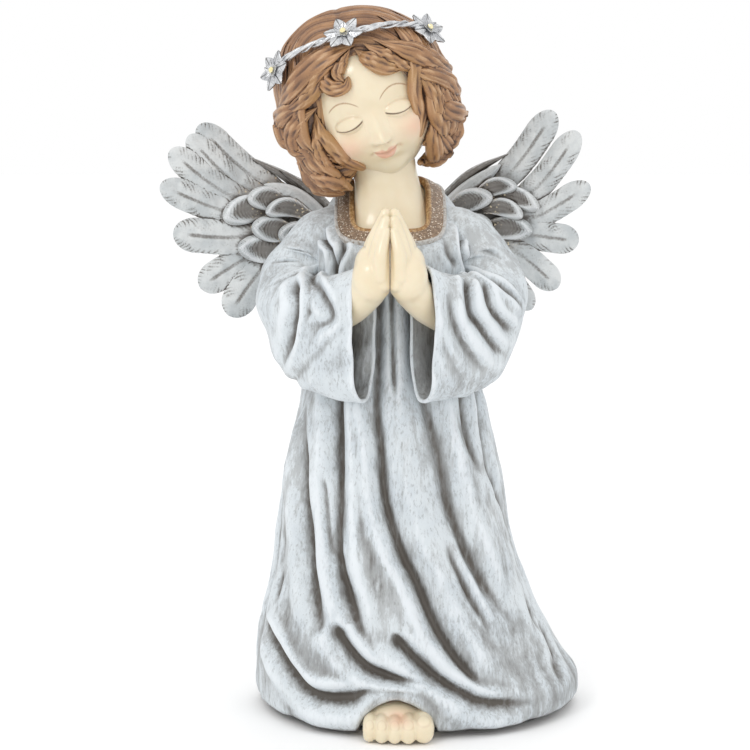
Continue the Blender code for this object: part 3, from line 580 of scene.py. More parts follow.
def build_sleeve(side_name, paint):
    side = SIDE[side_name]
    columns, rows, inner_rows = 230, 190, 69
    c, s = np.cos(full_turn(columns)), np.sin(full_turn(columns))
    grid = []
    for number, row in enumerate(spline([np.hstack(r) for r in SLEEVE_RINGS], rows)):
        centre, along, upwards = row[0:3], unit(row[3:6]), row[6:9]
        half_width, up, down = row[9:12]
        upwards = unit(upwards - along * (upwards @ along))
        sideways = np.cross(along, upwards)
        power = np.where(s > 0, 2.1 + 0.9 * (number / rows) ** 3, 2.7)  # squarer towards the mouth and below
        scale = (np.abs(c) ** power + np.abs(s) ** power) ** (-1 / power)
        narrow = 1 - 0.16 * (1 - s) / 2
        height = np.where(s > 0, up, down) * s * scale
        grid.append(centre + np.outer(c * scale * half_width * narrow, sideways) + np.outer(height, upwards))
    grid = np.array(grid) * (side, 1, 1) + (TORSO_X, 0, 0)
    sheet = Sheet(grid)
    for fold in SLEEVE_FOLDS[side_name]:
        sheet.fold(*fold)
    rim = smooth_step(np.arange(rows), rows * 0.93, rows)[:, None]
    sheet.depth += 0.7 * waves(grid, 22, 11 + side, 2) * (1 - rim) + 0.5 * rim
    sheet.depth += 0.7 * waves(grid, 16, 21 + side, 1) * rim
    outer, cavity = sheet.finished()
    # The wall turns over at the mouth, runs back inside and closes in a bowl.
    edge_out, along = sheet.normals[-1], unit(outer[-1] - outer[-6])
    turns = np.radians([30, 60, 90, 120, 150])
    lips = [outer[-1] + along * math.sin(turned) - edge_out * (1 - math.cos(turned)) for turned in turns]
    inner = [outer[-i] - sheet.normals[-i] * (2.0 + 0.02 * i) for i in range(1, inner_rows + 1)]
    deepest = inner[-1].mean(0)
    inner += [deepest + (inner[-1] - deepest) * share for share in (0.8, 0.5, 0.2, 0.0)]
    whole = np.concatenate([outer, lips, inner])
    # Painted shade: the inside of the sleeve grows darker the deeper it goes.
    inside = np.linspace(0.7, 1.7, len(inner))[:, None] * np.ones((1, columns))
    layers = {"cavity": np.concatenate([cavity - 0.6 * rim, np.full((len(lips), columns), -0.8), inside])}
    faces = grid_faces(len(whole), columns)
    name = f"{side_name}_sleeve"
    new_mesh(f"{name}_cloth", whole.reshape(-1, 3), faces, paint, name, layers)


# ---- collar ------------------------------------------------------------------------------------------------------


# Section of the collar: (distance from the neck edge, height over the robe, share of glitter band, amber or pale rim)
COLLAR_SECTION = [
    (0.0, -2.0, 0, 0), (-0.6, 0.2, 0, 1), (-0.5, 1.2, 0, 1), (0.2, 1.9, 0, 1), (1.0, 1.9, 0, 1), (1.5, 1.3, 0.3, 0.6),
    (2.1, 1.15, 1, 0), (3.8, 1.3, 1, 0), (5.6, 1.3, 1, 0), (7.4, 1.2, 1, 0), (8.2, 1.15, 1, 0), (8.7, 1.5, 0, -1),
    (9.2, 1.9, 0, -1), (9.8, 1.8, 0, -1), (10.2, 1.2, 0, -1), (10.3, 0.2, 0, -1), (10.2, -1.5, 0, -1),
]


def build_collar(paint):
    """Band on the robe round the neck: a pale rim outside, glitter in the middle and an amber edge inside."""
    columns = 260
    levels = spline(ROBE_RINGS, 900)[::-1]
    rings = np.array([robe_ring(row, full_turn(columns)) for row in levels[:200]])
    steps = np.linalg.norm(np.diff(rings, axis=0), axis=-1)
    run = np.concatenate([np.zeros((1, columns)), np.cumsum(steps, 0)])  # down the robe from the neck edge
    grid = []
    for along, lift, _, _ in COLLAR_SECTION:
        if along < 0:
            row = rings[0] + unit((rings[0] - rings[0].mean(0)) * (1, 1, 0)) * along
        else:
            row = np.array([[np.interp(along, run[:, j], rings[:, j, k]) for k in range(3)] for j in range(columns)])
        outward = unit(unit((row - row.mean(0)) * (1, 1, 0)) * 0.45 + (0, 0, 0.9))
        grid.append(row + outward * lift)
    layers = {key: np.repeat([r[k] for r in COLLAR_SECTION], columns) for key, k in (("band", 2), ("rim", 3))}
    points, faces = np.reshape(grid, (-1, 3)), grid_faces(len(grid), columns)
    new_mesh("collar_band", points, faces, paint, "collar_trim", layers)


def collar_paint():
    p = Paint("collar_paint")
    band, rim = p.layer("band"), p.layer("rim")
    grain = p.noise(700, 3)
    grit = p.cells(2100)
    base = p.mix(p.spread(grain, 0.35, 0.7), (0.20, 0.135, 0.09), (0.36, 0.26, 0.18))
    amber = p.mix(p.spread(grain, 0.4, 0.7), (0.30, 0.15, 0.05), (0.62, 0.42, 0.20))
    pale = p.mix(p.spread(grain, 0.45, 0.7), (0.55, 0.54, 0.52), (0.30, 0.25, 0.20))
    colour = p.mix(p.spread(rim, 0.1, 0.6), base, amber)
    colour = p.mix(p.spread(rim, -0.1, -0.6), colour, pale)
    spark = p.spread(grit["Color"], 0.80, 0.84)
    colour = p.mix(p.times(p.times(spark, band), 0.9), colour, (0.95, 0.88, 0.75))
    p.bump(p.plus(grit["Distance"], grain), 0.5, 0.0004)
    return p.set(Base_Color=colour, Roughness=0.38, Metallic=p.times(band, 0.35))


# ---- head and face -----------------------------------------------------------------------------------------------

HEAD_CENTRE = (-18.0, -4.0, 303.5)
HEAD_TURN = Matrix.Rotation(math.radians(-20), 4, "Y") @ Matrix.Rotation(math.radians(4), 4, "X")
HEAD_MATRIX = np.array(Matrix.Translation(Vector(HEAD_CENTRE)) @ HEAD_TURN)
SKULL = np.array([31.0, 33.0, 38.5])
EYE_X, EYE_Z, EYE_WIDE, EYE_TALL = 12.6, -5.0, 7.0, 4.6
NOSE_Z, MOUTH_Z = -15.0, -22.4


def to_world(points):
    return np.asarray(points, float) @ HEAD_MATRIX[:3, :3].T + HEAD_MATRIX[:3, 3]


def bell(x, z, at_x, at_z, wide, tall):
    return np.exp(-(((x - at_x) / wide) ** 2) - ((z - at_z) / tall) ** 2)


def face_relief(x, z):
    """Height of a calm child's face over the plain egg, with the paint masks."""
    lift = 2.4 * bell(x, z, 0, 18, 20, 12)
    lift -= 1.0 * bell(x, z, 0, -1, 5, 5)
    # Painted shade goes into the lid creases, the nostrils, the mouth corners and the seam of the lips.
    masks = {key: np.zeros_like(x) for key in ("lash", "brow", "lip", "blush", "shaded_crease")}
    for side in (-1, 1):
        u, w = (x * side - EYE_X) / EYE_WIDE, (z - EYE_Z) / EYE_TALL
        lift -= 2.6 * bell(x, z, side * (EYE_X - 0.8), EYE_Z + 0.6, 8.6, 6.4)
        lid = np.clip(1 - u**2 - w**2, 0, 1)
        lift += 2.5 * lid**0.7
        # The lid ends at a line that hangs in a shallow bow.
        bow = EYE_Z - 2.6 + 1.9 * u**2 - 0.5 * u
        below = z - bow
        span = smooth_step(1.02 - np.abs(u), 0, 0.12)
        lift -= 0.9 * span * smooth_step(-below, -0.15, 0.35) * bell(x, z, side * EYE_X, EYE_Z - 3.6, 7.5, 3.0)
        line = np.exp(-((below / (0.42 * (0.55 + 0.45 * np.clip(1 - u * 0.3, 0, 2)))) ** 4)) * span
        masks["lash"] = np.maximum(masks["lash"], line)
        fold = EYE_Z + 3.5 - 2.4 * u**2
        shaded_crease = np.exp(-(((z - fold) / 0.55) ** 2)) * smooth_step(1.0 - np.abs(u), 0, 0.3)
        lift -= 0.45 * shaded_crease
        masks["shaded_crease"] = np.maximum(masks["shaded_crease"], 0.6 * shaded_crease)
        arch = EYE_Z + 11.0 - 3.2 * (u - 0.1) ** 2
        brow = np.exp(-(((z - arch) / 0.34) ** 4)) * smooth_step(1.12 - np.abs(u), 0, 0.25)
        masks["brow"] = np.maximum(masks["brow"], brow)
        lift += 2.4 * bell(x, z, side * 15.5, -17.0, 11, 9.5)
        masks["blush"] = np.maximum(masks["blush"], bell(x, z, side * 17.0, -15.5, 7.5, 5.5))
        lift += 1.7 * bell(x, z, side * 3.3, NOSE_Z - 1.3, 1.9, 1.9)
        hole = bell(x, z, side * 1.9, NOSE_Z - 3.0, 1.1, 0.6)
        lift -= 0.9 * hole
        masks["shaded_crease"] = np.maximum(masks["shaded_crease"], hole)
        corner = bell(x, z, side * 6.6, MOUTH_Z + 0.5, 1.3, 1.0)
        lift -= 0.7 * corner
        masks["shaded_crease"] = np.maximum(masks["shaded_crease"], 0.7 * corner)
        lift += 0.9 * bell(x, z, side * 2.3, MOUTH_Z + 1.5, 2.3, 1.1)
    bridge = smooth_step(-z, 1, 15) * np.exp(-((x / (1.9 + 0.06 * np.clip(-z, 0, 20))) ** 2))
    lift += 3.6 * bridge * (1 - smooth_step(-z, -NOSE_Z + 0.8, -NOSE_Z + 3.6))
    lift += 2.7 * bell(x, z, 0, NOSE_Z, 2.9, 2.5)
    lift -= 0.5 * bell(x, z, 0, MOUTH_Z + 4.2, 1.3, 2.0)
    seam = MOUTH_Z + 0.028 * x**2 - 0.35 * np.exp(-((x / 1.3) ** 2))
    span = smooth_step(6.6 - np.abs(x), 0, 1.2)
    lift += 1.9 * bell(x, z, 0, MOUTH_Z, 6.2, 3.6)
    lift += 1.1 * bell(x, z, 0, MOUTH_Z - 2.0, 3.9, 1.4)
    cut = np.exp(-(((z - seam) / 0.5) ** 2)) * span
    lift -= 1.0 * cut
    masks["shaded_crease"] = np.maximum(masks["shaded_crease"], 0.8 * cut)
    upper = seam + 2.3 * (1 - (x / 6.6) ** 2) - 0.7 * np.exp(-((x / 1.1) ** 2))
    lower = seam - 3.2 * np.clip(1 - (x / 5.6) ** 2, 0, 1)
    inside = smooth_step(upper - z, -0.3, 0.4) * smooth_step(z - lower, -0.4, 0.5) * smooth_step(6.4 - np.abs(x), 0, 0.8)
    masks["lip"] = inside
    lift -= 1.2 * bell(x, z, 0, MOUTH_Z - 5.4, 6, 1.7)
    lift += 2.6 * bell(x, z, 0, -33.0, 7.5, 4.6)
    return lift, masks


def build_head(paint):
    columns, rows = 520, 330
    even = np.linspace(-math.pi, math.pi, columns, endpoint=False)
    turn = even - 0.62 * np.sin(even) - math.pi / 2  # closer together at the front
    sphere = sphere_grid(turn[None], latitudes(rows))
    s = sphere[..., 2]
    grid = sphere * SKULL
    low = np.clip(-s, 0, 1)
    grid[..., 0] *= 1 - 0.27 * low**2.6 + 0.05 * np.exp(-(((s + 0.42) / 0.25) ** 2))
    grid[..., 1] *= 1 - 0.10 * low**2
    lift, masks = face_relief(grid[..., 0], grid[..., 2])
    front = smooth_step(-sphere[..., 1], 0.15, 0.55)
    outward = unit(sphere / SKULL)
    outward[..., 0] *= 0.4
    grid = grid + unit(outward) * (lift * front)[..., None]
    layers = {key: (value * front).ravel() for key, value in masks.items()}
    skull = (to_world(grid.reshape(-1, 3)), grid_faces(rows, columns), layers)
    # The upper chest starts inside the neckline and runs up into the neck: (height, centre x, half width, half depth)
    around = full_turn(180)
    neckline = robe_ring(ROBE_RINGS[-1], around)
    middle = neckline.mean(0)
    inset = middle + (neckline - middle) * (0.99, 0.99, 1)
    rows = [inset - (0, 0, drop) for drop in (12.0, 6.0, 2.4)]
    neck_base = np.stack([-8.8 + np.cos(around) * 16.2, -3.4 + np.sin(around) * 15.2, 262.0 + 0 * around], -1)
    for share in np.linspace(0.06, 1, 26):
        climb = (share**0.85, share**0.85, 0.35 * share + 0.65 * share**2.2)
        rows.append(rows[2] + (neck_base - rows[2]) * climb)
    neck_rings = [(262, -8.8, 16.2, 15.2), (269, -10.3, 15.8, 14.9), (278, -12.3, 16.4, 15.8), (288, -15, 17, 16)]
    for height, centre_x, wide, deep in spline(neck_rings, 40)[1:]:
        rows.append(np.stack([centre_x + np.cos(around) * wide, -3.5 + np.sin(around) * deep, height + 0 * around], -1))
    neck = blur(np.array(rows), 2)
    plain = {key: np.zeros(neck.shape[0] * neck.shape[1]) for key in masks}
    points, faces, layers = joined([skull, (neck.reshape(-1, 3), grid_faces(len(neck), 180), plain)])
    new_mesh("head_and_neck", points, faces, paint, "head", layers)


def skin_paint():
    """Cream glaze with painted lashes, brows, lips and cheeks, and painted shade in the creases of the face and between
    the fingers and toes.
    """
    p = Paint("skin_paint")
    cloud = p.noise(60, 3)
    colour = p.mix(p.spread(cloud, 0.3, 0.7), (0.78, 0.66, 0.46), (0.82, 0.71, 0.52))
    colour = p.mix(p.times(p.layer("blush"), 0.55), colour, (0.80, 0.42, 0.29))
    colour = p.mix(p.times(p.layer("lip"), 0.75), colour, (0.74, 0.36, 0.26))
    # Painted shade in the creases and where fingers and toes hide the sky.
    colour = p.mix(p.times(p.layer("shaded_crease"), 0.45), colour, (0.45, 0.27, 0.15))
    colour = p.mix(p.times(p.layer("brow"), 0.85), colour, (0.36, 0.20, 0.09))
    colour = p.mix(p.layer("lash"), colour, (0.10, 0.045, 0.02))
    p.bump(cloud, 0.08, 0.0005)
    return p.set(Base_Color=colour, Roughness=0.3, Coat_Weight=0.5, Coat_Roughness=0.12, Subsurface_Weight=0.05)


# ---- shaded hollows ------------------------------------------------------------------------------------------------


def point_normals(points, faces):
    across = np.cross(points[faces[:, 2]] - points[faces[:, 0]], points[faces[:, 3]] - points[faces[:, 1]])
    total = np.zeros_like(points)
    for corner in range(4):
        np.add.at(total, faces[:, corner], across)
    return unit(total)


def shelter(points, faces, reach, rays=8):
    """How much of the sky over each point the mesh itself hides within reach, from 0 to 1."""
    normals = point_normals(points, faces)
    tree = BVHTree.FromPolygons(points.tolist(), faces.tolist())
    steps = (np.arange(rays) + 0.5) / rays
    turn = steps * rays * 2.4
    sky = np.stack([np.sqrt(steps) * np.cos(turn), np.sqrt(steps) * np.sin(turn), np.sqrt(1 - steps)], -1)
    side = unit(np.cross(normals, (0.31, 0.52, 0.79)))
    other = np.cross(normals, side)
    starts = (points + normals * 0.25).tolist()
    hidden = np.zeros(len(points))
    for ray in sky:
        directions = (side * ray[0] + other * ray[1] + normals * ray[2]).tolist()
        for i, (start, direction) in enumerate(zip(starts, directions)):
            distance = tree.ray_cast(start, direction, reach)[3]
            if distance is not None:
                hidden[i] += 1 - 0.6 * distance / reach
    return hidden / rays


# ---- wings -------------------------------------------------------------------------------------------------------

# Each blade: curve on the view plane from root to tip, depth y at root and tip, width, kind
WING_BLADES = {
    "right": [
        ([(-54, 254), (-79, 269), (-102, 291)], 38, 37, 16.0, "long"),
        ([(-58, 250), (-85, 264), (-107, 286)], 36.5, 35, 14.5, "long"),
        ([(-62, 246), (-92, 260), (-116, 279)], 35, 33, 15.0, "long"),
        ([(-60, 243), (-92, 250), (-121, 262)], 34, 32, 15.5, "long"),
        ([(-60, 238), (-88, 236), (-115, 238)], 33, 30, 18.0, "long"),
        ([(-60, 235), (-82, 224), (-102, 211)], 34, 32.5, 16.5, "long"),
        ([(-58, 234), (-74, 217), (-88, 197)], 33, 31, 17.5, "long"),
        ([(-48, 230), (-60, 216), (-70, 200)], 35, 33, 14.0, "long"),
        ([(-28, 234), (-42, 250), (-56, 264), (-79, 276.5)], 35, 38, 9.0, "edge"),
        ([(-30, 238), (-42, 252), (-50, 261), (-62, 269.5)], 33, 35, 9.0, "edge"),
        ([(-26, 232), (-42, 244), (-56, 256), (-70, 262)], 29, 31, 13.0, "arm"),
        ([(-68, 250), (-78, 250), (-90, 245)], 31, 28, 14.5, "covert"),
        ([(-57, 250), (-67, 255), (-78, 255)], 30, 27, 12.5, "covert"),
        ([(-54, 227), (-68, 230), (-83, 231)], 30, 26.5, 15.0, "covert"),
        ([(-54, 238), (-65, 240), (-76, 241)], 28, 24.5, 13.5, "covert"),
        ([(-46, 246), (-58, 251), (-69, 248)], 27, 23.5, 10.0, "covert"),
        ([(-42, 236), (-52, 238), (-63, 237)], 27, 23.5, 12.5, "covert"),
        ([(-55, 226), (-63, 223), (-71, 219)], 31, 28, 9.0, "covert"),
    ],
    "left": [
        ([(34, 252), (55, 272), (73, 298)], 38, 37, 15.5, "long"),
        ([(42, 244), (66, 262), (85, 288)], 36.5, 34.5, 14.5, "long"),
        ([(42, 242), (66, 247), (91, 262)], 35, 32.5, 14.0, "long"),
        ([(42, 240), (64, 237), (86, 234)], 34, 32, 15.5, "long"),
        ([(40, 238), (59, 226), (76, 211)], 33, 31, 14.5, "long"),
        ([(36, 234), (50, 218), (63, 200)], 34, 32, 12.5, "long"),
        ([(4, 238), (18, 252), (32, 267), (51, 277.5)], 35, 38, 8.5, "edge"),
        ([(8, 238), (20, 248), (32, 260), (47, 272)], 31, 34, 11.0, "arm"),
        ([(34, 256), (44, 261), (55, 261)], 30, 27, 9.5, "covert"),
        ([(42, 256), (54, 256), (66, 250)], 31, 28, 10.5, "covert"),
        ([(20, 248), (31, 254), (43, 256)], 28, 24.5, 12.0, "covert"),
        ([(38, 250), (48, 251), (58, 246)], 28, 25, 9.5, "covert"),
        ([(38, 240), (50, 241), (63, 239)], 30, 27, 12.5, "covert"),
        ([(26, 243), (34, 244), (43, 241)], 27, 24, 9.0, "covert"),
    ],
}
# Where the roots of the feathers are joined: view x and z, depth, half width, half height, half thickness
WING_PADS = {
    "right": [(-58, 241, 36, 17, 14, 4.5), (-42, 239, 33, 20, 11, 5.5), (-27, 235, 27, 17, 12, 7)],
    "left": [(38, 243, 36, 16, 13, 4.5), (22, 241, 33, 18, 11, 5.5), (9, 237, 27, 15, 12, 7)],
}


def at_depth(x, z, y):
    """The point at depth y that the viewer sees at (x, z) on the plane y = 0."""
    reach = (EYE[1] - y) / EYE[1]
    return np.stack([EYE[0] + (x - EYE[0]) * reach, y + 0 * x, EYE[2] + (z - EYE[2]) * reach], -1)


def blade(curve, depths, width, kind, facing, seed):
    """A closed feather along a curve in space, carved on both faces."""
    rows, across = {"long": (120, 30), "covert": (64, 26), "edge": (80, 16), "arm": (80, 20)}[kind]
    run = np.linspace(0, 1, rows)
    t = 1 - (1 - run) ** 1.35
    path = spline(curve, 200)
    path = np.stack([np.interp(t, np.linspace(0, 1, 200), path[:, k]) for k in range(2)], 1)
    y = depths[0] + (depths[1] - depths[0]) * t
    spine = at_depth(path[:, 0], path[:, 1], y)
    along = unit(np.gradient(spine, axis=0))
    front = np.array([0, facing, 0.0]) - along * (along[:, 1:2] * facing)
    front = unit(front)
    sideways = np.cross(along, front)
    length = np.linalg.norm(np.diff(spine, axis=0), axis=1).sum()
    cap = {"long": 0.80, "covert": 0.55, "edge": 0.3, "arm": 0.45}[kind]
    power = {"long": 2.0, "covert": 2.0, "edge": 1.3, "arm": 1.6}[kind]
    round_end = np.clip(1 - np.clip((t - cap) / (1 - cap), 0, 1) ** power, 0, 1) ** (1 / power if power > 1.5 else 0.8)
    shoulder = 0.55 + 0.45 * smooth_step(t, 0, 0.5) if kind != "edge" else 1.0 + 0 * t
    half = width / 2 * shoulder * round_end * smooth_step(t, -0.02, 0.03)
    v = np.sin(np.linspace(-1, 1, across) * math.pi / 2)
    v = np.concatenate([v, v[::-1]])
    face = np.concatenate([np.ones(across), -np.ones(across)])
    x = half[:, None] * v
    crown = np.clip(1 - v**2, 0, 1) ** 0.5
    thick = {"long": 1.5, "covert": 2.4, "edge": 2.0, "arm": 3.6}[kind] * (0.35 + 0.65 * round_end)[:, None]
    distance = (t * length)[:, None]
    source = np.random.default_rng(seed)
    groove = np.zeros_like(x)
    ragged = waves(np.stack([x, distance + 0 * x, 0 * x + seed], -1), 9, seed, 2)
    if kind == "long":
        for offset in (-0.75, 0.75):
            groove += 0.9 * np.exp(-(((x - offset * (1.25 - 0.7 * t[:, None])) / 0.38) ** 2)) * smooth_step(0.9 - t, 0, 0.1)[:, None]
        for spacing, tilt, strength in ((2.9, 1.3, 1.0), (1.3, 1.05, 0.5)):
            phase = (distance - np.abs(x) * tilt + 0.9 * ragged) / spacing + source.uniform(0, 1)
            cut = pulse(phase, 4)
            rising = smooth_step(np.abs(v), 0.12, 0.8)
            groove += strength * cut * rising * np.clip(0.55 + 0.9 * ragged, 0, 1)
        carve = 0.6
    elif kind == "covert":
        q = np.sqrt(np.clip(v**2, 0, 1) * 0.9 + np.clip((t[:, None] - 0.35) / 0.65, 0, 1) ** 2.4)
        rim = np.exp(-(((q - 0.86) / 0.13) ** 2))
        dish = smooth_step(0.8 - q, 0, 0.35)
        phase = (distance - np.abs(x) * 1.7 + 0.7 * ragged) / 1.7
        cut = pulse(phase, 3)
        groove += 1.0 * dish - 1.1 * rim + 0.75 * cut * smooth_step(q, 0.15, 0.6)
        groove += 0.6 * np.exp(-((x / 0.4) ** 2)) * dish
        carve = 0.75
    else:
        phase = (x * 1.3 + 0.3 * ragged + 0.02 * distance) / 1.5
        groove += 0.6 * pulse(phase, 3) * (1 if kind == "edge" else 0.5)
        groove -= 0.7 * np.exp(-(((np.abs(v) - 0.85) / 0.12) ** 2))
        carve = 0.4
    height = thick * crown - carve * groove * crown**0.4 + 0.35 * ragged * crown
    notch = 1 - 0.035 * np.clip(groove, 0, 1) * smooth_step(np.abs(v), 0.8, 1)
    points = spine[:, None] + sideways[:, None] * (x * notch)[..., None]
    points += front[:, None] * (face * height - 0.8 * v**2 * (0.3 + t[:, None]))[..., None]
    faces = grid_faces(rows, 2 * across)
    normals = point_normals(points.reshape(-1, 3), faces).reshape(rows, 2 * across, 3)
    if (normals[rows // 2, across // 2] * front[rows // 2]).sum() < 0:
        faces = faces[:, ::-1]
    root = (1 - smooth_step(t, 0.1, 0.62 if kind == "long" else 0.75))[:, None] + 0 * x
    if kind in ("edge", "arm"):
        root = 0.25 + 0 * x
    dark = (0.75 if kind == "edge" else 0.0) + 0 * x
    return points.reshape(-1, 3), faces, {"cavity": (0.85 * groove + dark).ravel(), "root": root.ravel()}


def ball(centre, radii, rows=28, columns=44):
    shape = sphere_grid(full_turn(columns)[None], latitudes(rows))
    return (shape * radii + centre).reshape(-1, 3), grid_faces(rows, columns)


def build_wing(side_name, paint):
    parts = []
    for number, (curve, root_y, tip_y, width, kind) in enumerate(WING_BLADES[side_name]):
        parts.append(blade(curve, (root_y, tip_y), width, kind, -1, 40 + number))
        if kind in ("covert", "arm"):  # the same small feathers on the back
            parts.append(blade(curve, (72 - root_y, 74 - tip_y), width * 1.1, kind, 1, 80 + number))
    for x, z, y, wide, tall, thick in WING_PADS[side_name]:
        points, faces = ball(at_depth(np.array(x), np.array(z), np.array(y)), (wide, thick, tall))
        parts.append((points, faces, {"cavity": np.full(len(points), 0.25), "root": np.full(len(points), 0.5)}))
    points, faces, layers = joined(parts)
    hidden = shelter(points, faces, 7.0)
    # Painted shade: the wash is also laid wherever the feathers hide the sky from one another.
    layers["cavity"] = layers["cavity"] * 0.95 + 2.9 * np.clip(hidden - 0.14, 0, 1)
    new_mesh(f"{side_name}_wing_feathers", points, faces, paint, f"{side_name}_wing", layers)


def wing_paint():
    """White dry-brushed tips, a grey wash in the carving, painted shade where the feathers overlap, and brown with gold
    glitter towards the roots.
    """
    p = Paint("wing_paint")
    cavity, root = p.layer("cavity"), p.layer("root")
    fine = p.noise(1100, 4, 0.65)
    cloud = p.noise(70, 4, 0.6)
    ragged = p.swing(fine, 1.3)
    body = p.mix(p.spread(cloud, 0.35, 0.65), (0.66, 0.68, 0.68), (0.50, 0.53, 0.54))
    near = p.spread(p.plus(root, p.swing(cloud, 0.9)), 0.3, 0.95)
    body = p.mix(p.times(near, 0.8), body, (0.27, 0.225, 0.185))
    wash_and_shade = p.plus(cavity, ragged)
    colour = p.mix(p.times(p.spread(wash_and_shade, 0.02, 0.85), 0.9), body, (0.16, 0.145, 0.13))
    # Near black where the carving is deepest and the painted shade strongest.
    colour = p.mix(p.spread(cavity, 0.8, 1.7), colour, (0.07, 0.058, 0.047))
    edge = p.spread(p.minus(p.times(ragged, 0.5), cavity), 0.12, 0.7, 0, 0.85)
    colour = p.mix(edge, colour, (0.78, 0.80, 0.82))
    grit = p.cells(1300)
    spark = p.times(p.spread(grit["Color"], 0.80, 0.84), p.spread(root, 0.35, 0.8))
    colour = p.mix(p.times(spark, 0.8), colour, (0.86, 0.74, 0.52))
    p.bump(p.plus(fine, p.times(grit["Distance"], 0.5)), 0.3, 0.0004)
    return p.set(Base_Color=colour, Roughness=p.spread(cloud, 0.3, 0.7, 0.48, 0.62), Metallic=p.times(spark, 0.5))


# ---- hair --------------------------------------------------------------------------------------------------------

# Outline of the hair seen along its own depth: degrees from its left-right axis, radius
HAIR_OUTLINE = [
    (0, 39), (14, 40), (39, 44.5), (56, 46.3), (70, 47), (85, 47.8), (107, 50), (127, 50.5), (148, 46.5), (162, 42.8),
    (175, 42), (186, 43), (201, 42), (213, 45), (224, 47), (237, 47), (248, 42), (270, 39), (288, 39.5), (300, 42.5),
    (316, 43), (330, 42), (345, 40), (360, 39),
]
OPENING = (-1.0, -8.5, 27.0, 31.5)  # centre and half sizes of the oval round the face


def to_local(points):
    return (np.asarray(points, float) - HEAD_MATRIX[:3, 3]) @ HEAD_MATRIX[:3, :3]


def opening_share(points):
    """Below 1 in front of the face, and growing away from it."""
    x, z, wide, tall = OPENING
    share = np.hypot((points[..., 0] - x) / wide, (points[..., 2] - z) / tall)
    return np.where(points[..., 1] < 4, share, 3.0)


def hair_radius(direction, over_face=True):
    """Distance from the middle of the head to the hair in a direction, in the head's own axes."""
    d = unit(direction)
    turn = np.degrees(np.arctan2(d[..., 2], d[..., 0])) % 360
    table = np.array(HAIR_OUTLINE, float)
    outline = np.interp(turn, table[:, 0], table[:, 1])
    flat = np.hypot(d[..., 0], d[..., 2])
    front = 36.5 + 5.0 * smooth_step(d[..., 2], 0.35, 0.75)
    deep = np.where(d[..., 1] < 0, front, 40.0)
    outline = outline * (1 - smooth_step(np.abs(d[..., 1]), 0.3, 0.9)) + 42.0 * smooth_step(np.abs(d[..., 1]), 0.3, 0.9)
    radius = 1 / np.sqrt((flat / outline) ** 2 + (d[..., 1] / deep) ** 2)
    share = opening_share(d * radius[..., None])
    radius = radius * (1 - 0.15 * (1 - smooth_step(share, 1.0, 1.35)))
    if over_face:
        skull = 1 / np.sqrt(((d / (SKULL + (0.5, 3.0, 2.0))) ** 2).sum(-1))
        return np.maximum(radius, skull)
    return radius * (1 - 0.42 * (1 - smooth_step(share, 0.84, 1.0)))


def on_hair(curve, lift=0.0):
    """Points in the head's axes where a curve on the view plane meets the hair."""
    curve = np.asarray(curve, float)
    depth = np.linspace(-58, 12, 280)
    line = at_depth(curve[:, 0][:, None], curve[:, 1][:, None], depth[None] + 0 * curve[:, :1])
    local = to_local(line)
    distance = np.linalg.norm(local, axis=-1)
    gap = distance - hair_radius(local)
    hit = (gap < 0).argmax(1)
    missed = ~(gap < 0).any(1)
    hit = np.where(missed, (distance / hair_radius(local)).argmin(1), hit)
    found = local[np.arange(len(curve)), hit]
    d = unit(found)
    return d * (hair_radius(d) + lift)[:, None]


def lock(path, width, height, strands=3, seed=0, rows=70, grow=0.5, blunt=0.35):
    """A tapered, grooved lock of hair lying on the hair along a path in the head's axes."""
    columns = 30
    source = np.random.default_rng(seed)
    path = spline(path, rows)
    t = np.linspace(0, 1, rows)
    normal = unit(path * (1.0, 1.0, 0.92))
    along = unit(np.gradient(path, axis=0))
    sideways = unit(np.cross(along, normal))
    normal = np.cross(sideways, along)
    taper = smooth_step(t, -0.05, grow * 0.6) * (blunt + (1 - blunt) * smooth_step(1 - t, -0.02, 0.45))
    taper = taper * np.sqrt(np.clip(1 - t**14, 0, 1))  # rounds off the tip
    swell = 0.35 + 0.65 * smooth_step(t, 0.0, grow)
    turn = full_turn(columns)
    u = np.cos(turn)
    drift = 0.25 * np.sin(TURN * (t * 1.2 + source.uniform()))[:, None]
    wave = np.cos(math.pi * (strands * (u[None] + drift) + source.uniform()))
    fine = np.cos(math.pi * (3.1 * strands * (u[None] + 0.6 * drift) + source.uniform()))
    upper = smooth_step(np.sin(turn), -0.2, 0.5)[None]
    groove = upper * (0.6 * (0.5 - 0.5 * wave) ** 2 + 0.42 * (0.5 - 0.5 * fine) ** 1.5)
    tall = height * (swell * taper)[:, None]
    lifted = tall * np.sin(turn)[None] * (1 - 0.42 * groove) + 0.25 * tall
    out = (width / 2 * taper * (0.6 + 0.4 * swell))[:, None] * u[None] * (1 - 0.06 * groove)
    points = path[:, None] + sideways[:, None] * out[..., None] + normal[:, None] * lifted[..., None]
    faces = grid_faces(rows, columns)
    normals = point_normals(points.reshape(-1, 3), faces).reshape(rows, columns, 3)
    if (normals[rows // 2, columns // 4] * normal[rows // 2]).sum() < 0:
        faces = faces[:, ::-1]
    # The underside of each lock, which faces down into the hair, gets painted shade on top of the wash in the grooves.
    cavity = 1.9 * groove + 0.6 * (1 - upper) * np.ones_like(groove) - 0.55
    return points.reshape(-1, 3), faces, {"cavity": cavity.ravel()}


